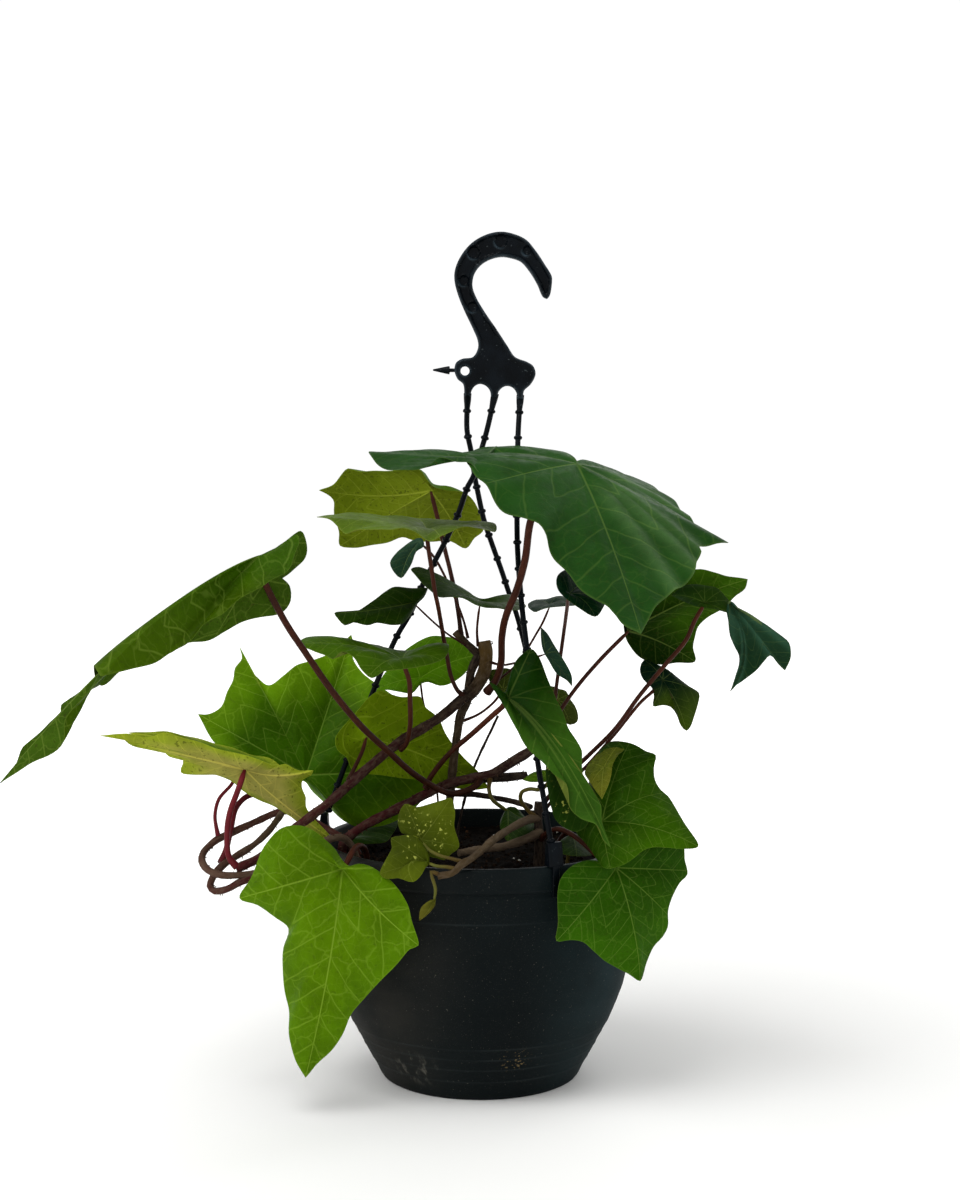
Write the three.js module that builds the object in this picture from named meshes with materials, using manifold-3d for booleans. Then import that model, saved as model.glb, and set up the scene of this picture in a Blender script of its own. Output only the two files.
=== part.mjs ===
// Potted canary island ivy in a black hanging pot, with its moulded hook and three strands.
// Millimetres, +Z up. The origin is the seat of the hook, where a rail or a bracket carries it.
import * as THREE from "three";
import { mergeVertices } from "three/addons/utils/BufferGeometryUtils.js";
import Module from "manifold-3d";

const wasm = await Module();
wasm.setup();

// Driving dimensions of the pot
const RIM_RADIUS = 100;
const POT_HEIGHT = 150;
const BASE_RADIUS = 61.5;
const WALL = 1.8;
const SOIL_BELOW_RIM = 12;
const GAP = 0.3;

// Driving dimensions of the hanger
const HOOK_THICKNESS = 7;
const EYELET_RADIUS = 2.8;
const STRAND_RADIUS = 2;
const CLIP_WIDTH = 9.5;
const CLIP_HEIGHT = 14.5;
const TONGUE_WIDTH = 4.4;
const TONGUE_LENGTH = 18;
const FRONT_CLIP_ANGLE = -64;

// Driving dimensions of the plant
const BLADE_THICKNESS = 0.9;
const STEM_SIDES = 8;
const STALK_SIDES = 6;
const MERGE_STEP = 0.02;
const LEAST_SLICE = 0.001;

// Every place of a stem, a leaf or the hanger is written as [right, down, behind]: right and down in
// steps of the view from the front, which is 960 wide and 1200 high, and behind in millimetres from
// the pot's axis, less than 0 in front of it. The eye stands in front of the pot, above the rim.
const EYE_DISTANCE = 1250;
const EYE_ABOVE_RIM = 248.6;
const EYE_TILT = THREE.MathUtils.degToRad(4.5);
const VIEW_LENGTH = 2000;
const VIEW_CENTRE = [480, 600];

function sight([right, down, behind]) {
  const across = (right - VIEW_CENTRE[0]) / VIEW_LENGTH;
  const rise = (VIEW_CENTRE[1] - down) / VIEW_LENGTH;
  const forward = Math.cos(EYE_TILT) + rise * Math.sin(EYE_TILT);
  const up = rise * Math.cos(EYE_TILT) - Math.sin(EYE_TILT);
  const reach = (EYE_DISTANCE + behind) / forward;
  return new THREE.Vector3(across * reach, behind, EYE_ABOVE_RIM + up * reach);
}

const HOOK_SEAT = sight([501, 257, 0]);
const EYE = new THREE.Vector3(0, -EYE_DISTANCE, EYE_ABOVE_RIM);

// Solids

function solidOf(geometry) {
  const bare = geometry.index ? geometry.clone() : geometry;
  bare.deleteAttribute("normal");
  bare.deleteAttribute("uv");
  const merged = mergeVertices(bare, 1e-4);
  const corners = [];
  for (let i = 0; i < merged.index.count; i += 3) {
    const [a, b, c] = merged.index.array.slice(i, i + 3);
    if (a !== b && b !== c && c !== a) {
      corners.push(a, b, c);
    }
  }
  const mesh = new wasm.Mesh({
    numProp: 3,
    vertProperties: new Float32Array(merged.attributes.position.array),
    triVerts: new Uint32Array(corners),
  });
  mesh.merge();
  return new wasm.Manifold(mesh);
}

function geometryOf(solid) {
  const mesh = solid.simplify(MERGE_STEP).getMesh();
  const geometry = new THREE.BufferGeometry();
  geometry.setAttribute("position", new THREE.BufferAttribute(mesh.vertProperties, 3));
  geometry.setIndex(new THREE.BufferAttribute(mesh.triVerts, 1));
  geometry.computeVertexNormals();
  return geometry;
}

function joined(solids) {
  return solids.reduce((all, one) => all.add(one));
}

function largestPiece(solid) {
  const pieces = solid.decompose();
  return pieces.reduce((best, one) => (one.volume() > best.volume() ? one : best));
}

function roundSection(radius, sides) {
  const corners = [];
  for (let i = 0; i < sides; i += 1) {
    const angle = (2 * Math.PI * i) / sides;
    corners.push(new THREE.Vector2(radius * Math.cos(angle), radius * Math.sin(angle)));
  }
  return new THREE.Shape(corners);
}

function rod(places, radius, sides, stepsPerPlace = 1.5) {
  const path = new THREE.CatmullRomCurve3(places.map(sight), false, "centripetal");
  const steps = Math.max(3, Math.round((places.length - 1) * stepsPerPlace));
  return solidOf(
    new THREE.ExtrudeGeometry(roundSection(radius, sides), {
      steps,
      bevelEnabled: false,
      extrudePath: path,
    }),
  );
}

function turned(profile, segments) {
  const points = profile.map(([radius, height]) => new THREE.Vector2(radius, height));
  const geometry = new THREE.LatheGeometry(points, segments);
  geometry.rotateX(Math.PI / 2);
  return solidOf(geometry);
}

// Pot and soil: profiles are [radius, height above the rim plane]

const POT_SEGMENTS = 44;
const OUTER_PROFILE = [
  [BASE_RADIUS, -POT_HEIGHT],
  [BASE_RADIUS + 2, -POT_HEIGHT + 2],
  [66, -142.5],
  [72, -132],
  [77.2, -121.8],
  [82.9, -111.4],
  [87.2, -101],
  [91, -90.7],
  [93.8, -78],
  [95.5, -60],
  [97, -33.4],
  [97.5, -15.2],
  [RIM_RADIUS - 0.3, -14.2],
  [RIM_RADIUS, -1.5],
  [RIM_RADIUS - 1, 0],
];
const INNER_PROFILE = [
  [RIM_RADIUS - 4.6, 0],
  [RIM_RADIUS - 5, -15],
  [93.4, -60],
  [88.9, -90.7],
  [80.8, -111.4],
  [69.8, -132],
  [BASE_RADIUS, -POT_HEIGHT + WALL + 2],
];

function pot() {
  const inside = [...INNER_PROFILE, [0, -POT_HEIGHT + WALL + 2]];
  return turned([[0, -POT_HEIGHT], ...OUTER_PROFILE, ...inside], POT_SEGMENTS);
}

function soil() {
  const surface = -SOIL_BELOW_RIM;
  const shrunk = INNER_PROFILE.slice(1).map(([radius, height]) => [radius - 0.6, height + 0.4]);
  const side = [...shrunk].reverse();
  const floor = side[0][1];
  const top = [[RIM_RADIUS - 5.6, surface], [0, surface]];
  return turned([[0, floor], ...side, ...top], POT_SEGMENTS);
}

// Hanger: one flat moulded plate, three strands and three rim clips

const HOOK_OUTLINE = [
  [547, 299], [549.6, 296], [552, 281], [551.6, 276.5], [544, 263.5], [536, 251.5], [526, 240],
  [513, 234], [500, 232],
  [486, 235], [472, 243], [461, 256], [455, 270], [454.5, 281], [458, 295], [464, 310], [473, 329],
  [477.5, 340], [478, 348], [473, 357], [462, 359], [456, 363], [454.5, 371], [457.5, 379],
  [463, 384], [464.5, 397], [470.5, 397], [471.5, 391], [475, 386], [480, 384], [486, 386],
  [490, 391], [491, 397], [497, 397], [498.5, 392], [502.5, 387.5], [507.5, 386], [513, 388],
  [516.5, 393], [517, 399], [523, 399], [524, 391], [531, 384], [535.5, 374], [533, 366],
  [527, 362], [515, 357], [508, 347], [497, 330], [484, 311], [475.5, 296], [472.5, 286],
  [474, 275], [480, 266], [489, 260], [501, 257], [512, 258.5], [521, 262], [529, 271],
  [537, 284], [543, 297],
];
const EYELET_PLACE = [465, 371];
const PIN_OUTLINE = [
  [455.5, 368.5], [449, 368.5], [448.5, 366], [433, 370], [448.5, 374.5], [449, 372], [455.5, 372],
];
const PIN_THICKNESS = 2.4;

function plate(outline, thickness, holes = []) {
  const flat = (place) => {
    const spot = sight([place[0], place[1], 0]);
    return new THREE.Vector2(spot.x, spot.z);
  };
  const shape = new THREE.Shape(outline.map(flat));
  for (const [place, radius] of holes) {
    const centre = flat(place);
    const hole = new THREE.Path();
    hole.absarc(centre.x, centre.y, radius, 0, 2 * Math.PI, true);
    shape.holes.push(hole);
  }
  const options = { depth: thickness, bevelEnabled: false, curveSegments: 5 };
  const geometry = new THREE.ExtrudeGeometry(shape, options);
  geometry.translate(0, 0, -thickness / 2);
  geometry.rotateX(Math.PI / 2);
  return solidOf(geometry);
}

function hookPlate() {
  const body = plate(HOOK_OUTLINE, HOOK_THICKNESS, [[EYELET_PLACE, EYELET_RADIUS]]);
  return body.add(plate(PIN_OUTLINE, PIN_THICKNESS));
}

const STRANDS = {
  strand_front: [
    [520, 401.5, 0], [518, 437, -8], [517, 521, -24], [518, 558, -32], [522, 607, -41],
    [527, 650, -49], [537, 756, -70], [540, 777, -74], [545, 806, -80], [550.5, 841, -89],
  ],
  strand_back: [
    [467.5, 399.8, 0], [467, 430, 6], [471, 451, 11], [475, 478, 16], [478, 493, 19],
    [484, 520, 25], [492, 544, 30], [501, 569, 35], [509, 593, 40], [517, 616, 44],
    [534, 684, 58], [549, 746, 70], [559, 787, 79.5],
  ],
  strand_left: [
    [493.8, 399.8, 0], [487, 430, 0.5], [481, 451, 1], [472.6, 478, 1.5], [468, 486, 1.7],
    [458.5, 513, 2], [447, 538, 2.5], [436, 559, 3], [423.5, 583, 3.3], [411, 612, 3.8],
    [397, 636, 4.2], [381, 672, 5], [352, 747, 6], [328.5, 810, 6.8],
  ],
};
const CLIP_PROFILE = [
  [96.2, GAP], [96.8, CLIP_HEIGHT - 2], [98, CLIP_HEIGHT], [100.8, CLIP_HEIGHT], [102.6, 3],
  [102.8, GAP],
];
const TONGUE_PROFILE = [
  [RIM_RADIUS + GAP, 1], [RIM_RADIUS + GAP, -TONGUE_LENGTH], [RIM_RADIUS + 2, -TONGUE_LENGTH],
  [102.8, 1],
];

function slab(profile, width) {
  const shape = new THREE.Shape(profile.map(([radius, height]) => new THREE.Vector2(radius, height)));
  const geometry = new THREE.ExtrudeGeometry(shape, { depth: width, bevelEnabled: false });
  geometry.translate(0, 0, -width / 2);
  geometry.rotateX(Math.PI / 2);
  return solidOf(geometry);
}

function clip(angle) {
  const upright = slab(CLIP_PROFILE, CLIP_WIDTH).add(slab(TONGUE_PROFILE, TONGUE_WIDTH));
  return upright.rotate([0, 0, angle]);
}

// Woody stems

const TRUNK = [
  [448, 856, 5], [450, 800, 5], [456, 743, 4], [461, 714, 3], [467, 701, 3], [471, 672, 3],
  [479, 655, 4],
];
const STUB = [
  [484, 641, 4], [486, 655, 3], [484, 672, 1], [474, 690, -3], [467, 696, -4],
];
const SPUR = [[455, 632, 7], [465, 642, 5], [479, 655, 4]];
const LONG_STEM = [
  [474, 690, -3], [467, 695, -4], [439, 718, -10], [400, 742, -18], [362, 773, -28],
  [332, 800, -38], [297, 827, -44], [262, 856, -50], [236, 869, -54],
];
const UPPER_LOOP = [
  [360, 862, -18], [348, 846, -16], [334, 833, -14], [318, 824, -12], [300, 813, -12],
  [283, 811, -12], [251, 824, -18], [229, 834, -26], [215, 841, -35], [204, 852, -42],
  [202, 861, -48], [208, 870, -52], [222, 875, -55], [242, 875, -57], [262, 872, -58],
  [285, 866, -58], [312, 848, -56], [330, 839, -52], [343, 838, -46], [354, 850, -41],
  [358, 868, -39],
];
const LOWER_LOOP = [
  [283, 811, -12], [277, 820, -20], [268, 832, -28], [251, 847, -36], [233, 858, -43],
  [222, 866, -45], [213, 877, -46], [210, 886, -48], [215, 891, -52], [227, 889, -55],
  [242, 881, -57], [262, 874, -58],
];
const SECOND_STEM = [
  [342, 864, -17], [342, 850, -18], [346, 840, -21], [362, 827, -22], [397, 809, -18],
  [426, 794, -12], [448, 784, -8], [478, 777, -6], [493, 773, -8], [515, 760, -14],
  [530, 751, -18], [548, 737, -20], [556, 722, -22],
];
const BROKEN_BRANCH = [[478, 777, -6], [489, 778, -4], [510, 777, -1], [527, 775, 1]];
const CROWN = [[539, 870, -25], [539, 838, -25], [538, 815, -25], [539, 802, -25]];
const UPPER_RUNNER = [
  [538, 818, -25], [530, 819, -31], [515, 826, -46], [496, 838, -66], [482, 850, -84],
  [471, 859, -97], [462, 864, -104], [452, 873, -107], [438, 876, -106.5],
];
const LOWER_RUNNER = [
  [540, 832, -26], [533, 836, -32], [506, 846, -48], [485, 849, -58], [459, 853, -70],
];
const THIN_RUNNER = [
  [446, 793, 12], [478, 795, 10], [496, 798, 6], [515, 802, -2], [531, 807, -14],
];
const THIN_SHOOT = [[452, 862, 24], [463, 806, 20], [474, 768, 15], [498, 716, 12]];

const STEMS = {
  main_stem: [
    [TRUNK, 2.6], [STUB, 4.2], [SPUR, 2.2], [LONG_STEM, 3.3], [UPPER_LOOP, 2.2], [LOWER_LOOP, 2.2],
  ],
  second_stem: [[SECOND_STEM, 3.4], [BROKEN_BRANCH, 2.8]],
  front_crown: [[CROWN, 3.2], [UPPER_RUNNER, 2.4], [LOWER_RUNNER, 2.6]],
  thin_runner: [[THIN_RUNNER, 1.9]],
  thin_shoot: [[THIN_SHOOT, 0.9]],
};

function stem(branches, extra = 0) {
  return joined(branches.map(([places, radius]) => rod(places, radius + extra, STEM_SIDES)));
}

// Leaves. joint is where the stalk meets the blade, edge runs round the blade and tip is the number
// of its main point in edge, rib is the middle of the midrib where it bows, dome is how far the blade
// swells towards the eye between the joint and the edge, and stalk runs from the joint to the stem.
// A lobe is folded away from the rest of the blade, and is made as a blade with a joint of its own.

const LEAVES = [
  {
    name: "crown_leaf", joint: [577, 464, -45], tip: 23, rib: [609, 545, -108], dome: 2, radius: 2.5,
    edge: [
      [471, 452, -24], [497, 447, -20], [522, 446, -17], [545, 451, -14], [562, 457, -17],
      [574, 461, -30], [590, 468, -6], [617, 475, 0], [640, 482, -5], [658, 491, -20],
      [675, 500, -35], [683, 514, -45], [697, 528, -60], [711, 537, -70], [728, 544, -85],
      [713, 545, -92], [699, 547, -100], [701, 553, -105], [696, 564, -115], [693, 576, -125],
      [675, 591, -142], [658, 605, -155], [648, 620, -168], [641, 634, -180], [624, 626, -175],
      [613, 614, -165], [606, 603, -158], [583, 593, -148], [570, 577, -138], [560, 565, -132],
      [550, 549, -125], [546, 536, -122], [538, 524, -118], [524, 519, -115], [509, 514, -112],
      [495, 501, -105], [485, 485, -98], [475, 476, -90], [469, 464, -82],
    ],
    lobes: [
      {
        name: "crown_side_lobe", joint: [484, 458, -54], tip: 4, rib: [425, 457, -56], dome: 1,
        edge: [
          [497, 447, -20], [471, 452, -24], [440, 451, -30], [400, 450.5, -42], [370, 452, -45],
          [374, 460, -62], [382, 467, -75], [398, 471, -85], [414, 471, -85], [429, 464, -80],
          [440, 457, -75], [457, 462, -80], [469, 464, -82], [478, 472, -88],
        ],
      },
    ],
    stalk: [
      [562, 474, -55], [545, 490, -64], [531, 520, -72], [525, 560, -62],
      [517, 589, -52], [506, 616, -40], [502, 636, -30], [501, 663, -18], [496, 680, -10],
      [487, 692, -4],
    ],
  },
  {
    name: "long_left_leaf", joint: [258, 556, -112], tip: 12, rib: [184, 587, -149], dome: 2,
    radius: 2.2,
    edge: [
      [297, 534, -108], [296, 549, -118], [288, 572, -128], [267, 583, -135], [249, 591, -140],
      [224, 614, -148], [204, 625, -152], [181, 646, -158], [161, 661, -164], [143, 667, -170],
      [114, 671, -178], [101, 677, -182], [94, 666, -168], [100, 684, -152], [130, 668, -142],
      [160, 656, -132], [180, 647, -120], [205, 641, -108], [224, 631, -100], [240, 622, -96],
      [262, 619, -92], [280, 612, -88], [290, 600, -86], [289, 585, -88], [282, 579, -92],
      [292, 574, -88], [303, 560, -86], [306, 545, -88], [301, 531, -96], [285, 544, -106],
    ],
    lobes: [
      {
        name: "long_left_tail", joint: [101, 671, -167], tip: 7, rib: [48, 727, -184], dome: 0,
        edge: [
          [101, 677, -182], [88, 693, -188], [74, 708, -192], [66, 722, -194], [63, 740, -196],
          [47, 755, -198], [33, 763, -199], [0, 784, -200], [16, 761, -188], [24, 748, -184],
          [43, 736, -180], [60, 718, -175], [60, 704, -170], [75, 698, -162], [100, 684, -152],
          [112, 668, -150], [116, 660, -166], [115, 668, -178],
        ],
      },
    ],
    stalk: [
      [262, 575, -109], [284, 620, -98], [305, 652, -88], [332, 691, -74],
      [362, 727, -58], [389, 752, -45], [410, 771, -33], [429, 784, -24], [448, 793, -20],
      [462, 792, -17], [474, 787, -13], [480, 780, -8],
    ],
  },
  {
    name: "pale_left_leaf", joint: [245, 769, -36], tip: 0, rib: [180, 748, -48], dome: 4,
    radius: 2.0,
    edge: [
      [100, 736, -60], [117, 734, -58], [131, 733, -56], [150, 737, -54], [163, 734, -53],
      [179, 737, -52], [197, 741, -50], [215, 747, -48], [233, 753, -46], [251, 757, -44],
      [266, 762, -42], [276, 766, -38], [285, 763, -36], [299, 771, -33], [313, 772, -31],
      [311, 776, -30], [303, 779, -29], [302, 786, -28], [306, 797, -27], [306, 806, -27],
      [318, 824, -26], [333, 840, -26], [316, 835, -26], [300, 822, -25], [283, 813, -22],
      [269, 804, -22], [256, 797, -22], [242, 790, -23], [231, 781, -24], [208, 774, -28],
      [181, 771, -32], [183, 761, -36], [169, 757, -40], [160, 747, -44], [152, 742, -47],
      [142, 746, -48], [129, 743, -53], [119, 737, -57],
    ],
    stalk: [
      [238, 790, -45], [229, 816, -50], [227, 840, -52], [229, 857, -54],
      [237, 867, -54],
    ],
  },
  {
    name: "sliver_leaf", joint: [238, 762, -20], tip: 0, rib: [183, 743, -30], dome: 1, radius: 1.3,
    edge: [
      [128, 733, -46], [150, 731, -38], [163, 731, -34], [179, 735, -28], [197, 739, -22],
      [215, 743, -16], [233, 748, -12], [251, 755, -10], [269, 759, -12], [280, 765, -16],
      [268, 770, -22], [250, 771, -25], [230, 766, -27], [205, 760, -30], [180, 752, -34],
      [155, 742, -40],
    ],
    stalk: [
      [233, 782, -22], [219, 799, -26], [215, 816, -30], [218, 836, -33],
    ],
  },
  {
    name: "big_back_leaf", joint: [306, 775, 13], tip: 16, rib: [326, 712, 38], dome: 3, radius: 2.0,
    edge: [
      [198, 714, 5], [208, 714, 8], [221, 707, 12], [227, 692, 17], [233, 680, 23], [235, 668, 28],
      [242, 658, 34], [240, 648, 38], [246, 664, 34], [256, 676, 31], [269, 685, 25],
      [283, 676, 32], [297, 665, 38], [310, 661, 40], [328, 654, 45], [340, 645, 50],
      [351, 635, 58], [354, 645, 54], [353, 658, 50], [362, 672, 46], [376, 684, 42],
      [400, 700, 38], [425, 722, 36], [445, 750, 34], [452, 772, 32], [432, 790, 27],
      [410, 812, 22], [385, 825, 18], [360, 827, 17], [343, 820, 18], [328, 806, 22],
      [313, 792, 20], [304, 781, 13], [292, 780, 12], [270, 777, 11], [250, 769, 12],
      [228, 755, 12], [213, 741, 10],
    ],
    stalk: [
      [285, 786, 4], [262, 792, -2], [246, 797, -8], [236, 808, -16],
      [231, 828, -28], [226, 850, -38], [221, 863, -43],
    ],
  },
  {
    name: "olive_leaf", joint: [366, 738, -8], tip: 10, rib: [425, 755, 6], dome: -3, radius: 1.4,
    edge: [
      [378, 691, -2], [391, 694, 4], [402, 697, 9], [421, 697, 14], [424, 706, 15], [439, 719, 17],
      [446, 733, 17], [454, 746, 16], [464, 758, 14], [477, 771, 12], [490, 788, 10],
      [470, 790, 6], [445, 786, 4], [420, 780, 2], [400, 778, 0], [380, 775, -5], [354, 771, -12],
      [347, 758, -14], [337, 750, -16], [335, 739, -15], [342, 728, -10], [352, 717, -6],
      [360, 708, -5], [368, 698, -3],
    ],
    stalk: [[362, 752, -18], [354, 769, -28], [348, 781, -32]],
  },
  {
    name: "dark_low_leaf", joint: [352, 838, 20], tip: 3, rib: [375, 828, 27], dome: 2, radius: 1.3,
    edge: [
      [345, 836, 24], [360, 835, 30], [380, 827, 34], [396, 818, 35], [397, 826, 26],
      [392, 835, 19], [386, 842, 12], [372, 844, 9], [357, 844, 8], [347, 842, 12], [342, 840, 18],
    ],
    stalk: [[356, 846, 12], [362, 858, 8], [364, 866, 8]],
  },
  {
    name: "mid_left_leaf", joint: [402, 660, -50], tip: 0, rib: [350, 650, -52], dome: 3, radius: 1.7,
    edge: [
      [298, 645, -60], [307, 638, -45], [318, 636, -38], [328, 641, -30], [343, 644, -22],
      [362, 645, -14], [377, 650, -12], [397, 654, -11], [416, 653, -11], [435, 648, -18],
      [447, 643, -30], [447, 655, -50], [435, 662, -62], [420, 666, -70], [400, 671, -78],
      [383, 671, -80], [372, 677, -84], [362, 670, -80], [353, 657, -72], [341, 653, -68],
      [333, 659, -72], [326, 654, -68], [312, 650, -64],
    ],
    stalk: [
      [409, 680, -46], [410, 700, -42], [410, 727, -34], [406, 744, -26],
      [401, 749, -20],
    ],
  },
  {
    name: "bright_mid_leaf", joint: [420, 678, 30], tip: 9, rib: [452, 664, 40], dome: 2, radius: 0.8,
    edge: [
      [377, 689, 25], [383, 676, 30], [392, 664, 35], [401, 654, 40], [418, 642, 48],
      [433, 636, 52], [443, 636, 52], [458, 639, 50], [470, 648, 46], [485, 654, 42],
      [473, 661, 38], [465, 673, 34], [452, 683, 28], [440, 686, 25], [428, 682, 26],
      [421, 684, 25], [412, 693, 20], [400, 692, 20], [388, 690, 22],
    ],
    stalk: [
      [423, 701, 38], [428, 722, 43], [433, 752, 45], [437, 790, 40], [440, 830, 30],
      [442, 862, 22],
    ],
  },
  {
    name: "upper_back_leaf", joint: [431, 491, 38], tip: 0, rib: [378, 500, 52], dome: -4, radius: 1.6,
    edge: [
      [319, 491, 50], [334, 483, 45], [341, 475, 42], [348, 469, 38], [360, 472, 36],
      [379, 471, 32], [400, 469, 30], [419, 470, 30], [427, 480, 34], [434, 487, 38],
      [446, 490, 42], [459, 491, 46], [471, 499, 52], [478, 509, 58], [484, 528, 68],
      [475, 538, 74], [466, 549, 80], [451, 541, 78], [432, 541, 78], [412, 541, 78],
      [402, 538, 76], [387, 542, 76], [370, 545, 76], [353, 548, 76], [340, 547, 74],
      [339, 531, 68], [334, 514, 60], [333, 500, 54],
    ],
    stalk: [
      [438, 520, 35], [445, 550, 28], [450, 570, 22], [456, 598, 14],
      [460, 626, 8], [461, 636, 6],
    ],
  },
  {
    name: "edge_leaf", joint: [427, 530, -46], tip: 0, rib: [375, 524, -62], dome: 2, radius: 1.5,
    edge: [
      [317, 516, -65], [332, 515, -47], [348, 514, -35], [370, 516, -25], [391, 516, -16],
      [407, 518, -12], [422, 520, -9], [440, 520, -9], [461, 522, -13], [482, 524, -23],
      [496, 524, -37], [495, 531, -47], [481, 529, -57], [466, 528, -65], [451, 531, -73],
      [440, 535, -77], [430, 541, -77], [415, 532, -80], [404, 529, -80], [390, 531, -83],
      [379, 529, -83], [366, 528, -85], [356, 529, -85], [346, 534, -87], [339, 528, -81],
      [330, 521, -73],
    ],
    stalk: [
      [428, 545, -46], [432, 572, -43], [435, 592, -44], [438, 606, -38], [444, 640, -19],
      [447, 656, -15], [451, 676, -11], [458, 691, -8], [466, 697, -5],
    ],
  },
  {
    name: "slate_left_leaf", joint: [419, 542, 12], tip: 5, rib: [408, 559, 7], dome: 1, radius: 0.9,
    edge: [
      [421, 538, 14], [424, 546, 10], [416, 552, 6], [412, 563, 2], [408, 570, 0], [401, 578, -2],
      [394, 572, 0], [390, 563, 4], [395, 555, 8], [401, 549, 12], [412, 541, 16],
    ],
    stalk: [
      [428, 550, 12], [436, 560, 11.5], [449, 585, 8], [459, 608, 3],
      [464, 622, 2], [468, 638, 4],
    ],
  },
  {
    name: "curved_leaf", joint: [480, 604, -10], tip: 0, rib: [448, 588, -20], dome: 2,
    radius: 0.9,
    edge: [
      [411, 569, -18], [419, 567, -12], [428, 571, -9], [440, 579, -7], [453, 585, -4],
      [462, 594, 2], [475, 601, 4], [487, 602, 4], [499, 600, 4], [510, 595, 4], [520, 600, 0],
      [526, 606, -12], [520, 610, -24], [508, 611, -30], [497, 608, -31], [487, 607, -32],
      [475, 604, -31], [463, 598, -33], [451, 597, -36], [439, 598, -38], [430, 591, -35],
      [423, 583, -30], [416, 575, -24],
    ],
    stalk: [[478, 618, -5], [477, 632, 0], [478, 646, 3]],
  },
  {
    name: "curved_right_leaf", joint: [550, 605, -12], tip: 4, rib: [563, 602, -10], dome: 1,
    radius: 0.8,
    edge: [
      [529, 603, 2], [536, 600, 6], [546, 600, 6], [562, 596, 2], [576, 604.5, -8],
      [566, 606, -18], [556, 607, -23], [548, 608, -26], [541, 610, -28], [536, 612, -28],
      [530, 609, -20], [528, 606, -6],
    ],
    stalk: [
      [543, 622, -16], [535, 636, -22], [528, 648, -24], [518, 663, -18],
      [506, 674, -8], [497, 681, -2],
    ],
  },
  {
    name: "dark_green_leaf", joint: [414, 603, -18], tip: 0, rib: [372, 613, -38], dome: 2,
    radius: 0.7,
    edge: [
      [334, 614, -50], [345, 612, -44], [356, 611, -38], [373, 601, -28], [384, 593, -20],
      [395, 587, -14], [412, 588, -9], [428, 588, -8], [424, 597, -12], [417, 604, -17],
      [413, 611, -22], [409, 617, -28], [401, 624, -36], [391, 626, -42], [377, 623, -44],
      [367, 625, -50], [353, 622, -52], [345, 625, -56], [338, 619, -54],
    ],
    stalk: [[428, 617, -13], [445, 632, -7], [457, 640, 0], [466, 645, 3]],
  },
  {
    name: "shaded_crown_leaf", joint: [569, 594, -77], tip: 4, rib: [583, 602, -78], dome: 1,
    radius: 1.3,
    edge: [
      [557, 577, -68], [557, 587, -73], [562, 595, -79], [579, 608, -85], [595, 617, -88],
      [603, 608, -80], [606, 598, -70], [604, 585, -55], [592, 575, -45], [580, 570, -50],
      [566, 570, -60],
    ],
    stalk: [
      [566, 616, -42], [563, 638, -20], [560, 660, -17], [556, 690, -19], [554, 712, -23],
    ],
  },
  {
    name: "right_back_leaf", joint: [628, 631, 0], tip: 6, rib: [690, 605, -12], dome: -4, radius: 1.4,
    edge: [
      [625, 618, -3], [640, 600, -8], [660, 585, -12], [696, 569, -15], [715, 572, -15],
      [729, 577, -16], [748, 580, -20], [745, 588, -14], [736, 595, -8], [729, 602, -4],
      [720, 610, 2], [706, 620, 8], [698, 627, 12], [695, 636, 16], [693, 647, 20],
      [695, 661, 26], [676, 664, 26], [663, 665, 26], [651, 662, 24], [640, 657, 20],
      [631, 647, 14], [626, 638, 8],
    ],
    stalk: [[600, 660, -8], [576, 688, -14], [560, 711, -18], [556, 718, -20]],
  },
  {
    name: "drooping_right_leaf", joint: [705, 603, -35], tip: 0, rib: [688, 597, -33], dome: 2,
    radius: 1.9,
    edge: [
      [671, 595, -30], [686, 585, -30], [708, 586, -30], [717, 588, -30], [724, 595, -32], [731, 604, -37],
      [729, 613, -43], [722, 611, -40], [714, 609, -38], [700, 607, -34], [685, 602, -28],
    ],
    lobes: [
      {
        name: "drooping_right_lobe", joint: [729, 603, -37], tip: 11, rib: [745, 650, -58], dome: 1,
        edge: [
          [733, 604, -37], [743, 615, -42], [754, 622, -48], [770, 633, -55], [787, 640, -60],
          [791, 656, -66], [785, 671, -70], [778, 665, -68], [770, 657, -64], [756, 670, -67],
          [743, 681, -70], [730, 692, -72], [735, 679, -68], [739, 665, -64], [739, 655, -60],
          [734, 646, -56], [730, 637, -52], [728.5, 622, -47], [727, 608, -40],
        ],
      },
    ],
    stalk: [
      [695, 620, -36], [686, 640, -37], [665, 665, -37], [640, 695, -36],
      [615, 729, -34], [590, 754, -30], [568, 775, -27], [550, 795, -25], [542, 806, -25],
    ],
  },
  {
    name: "small_curled_leaf", joint: [662, 680, -4], tip: 10, rib: [675, 706, -6], dome: 3,
    radius: 1.2,
    edge: [
      [644, 660, 0], [640, 669, -2], [643, 679, -4], [652, 688, -6], [654, 697, -8],
      [653, 706, -8], [663, 705, -6], [671, 707, -6], [677, 715, -8], [681, 726, -10],
      [686, 731, -10], [690, 727, -8], [694, 717, -4], [698, 704, 0], [699, 693, 4],
      [690, 687, 4], [679, 679, 4], [668, 670, 4], [656, 664, 3],
    ],
    stalk: [
      [654, 690, -6], [640, 703, -16], [614, 735, -20], [595, 757, -18],
      [575, 778, -16], [554, 799, -18], [542, 813, -22],
    ],
  },
  {
    name: "front_folded_leaf", joint: [508, 698, -77], tip: 13, rib: [556, 747, -91], dome: 2,
    radius: 1.9,
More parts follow.
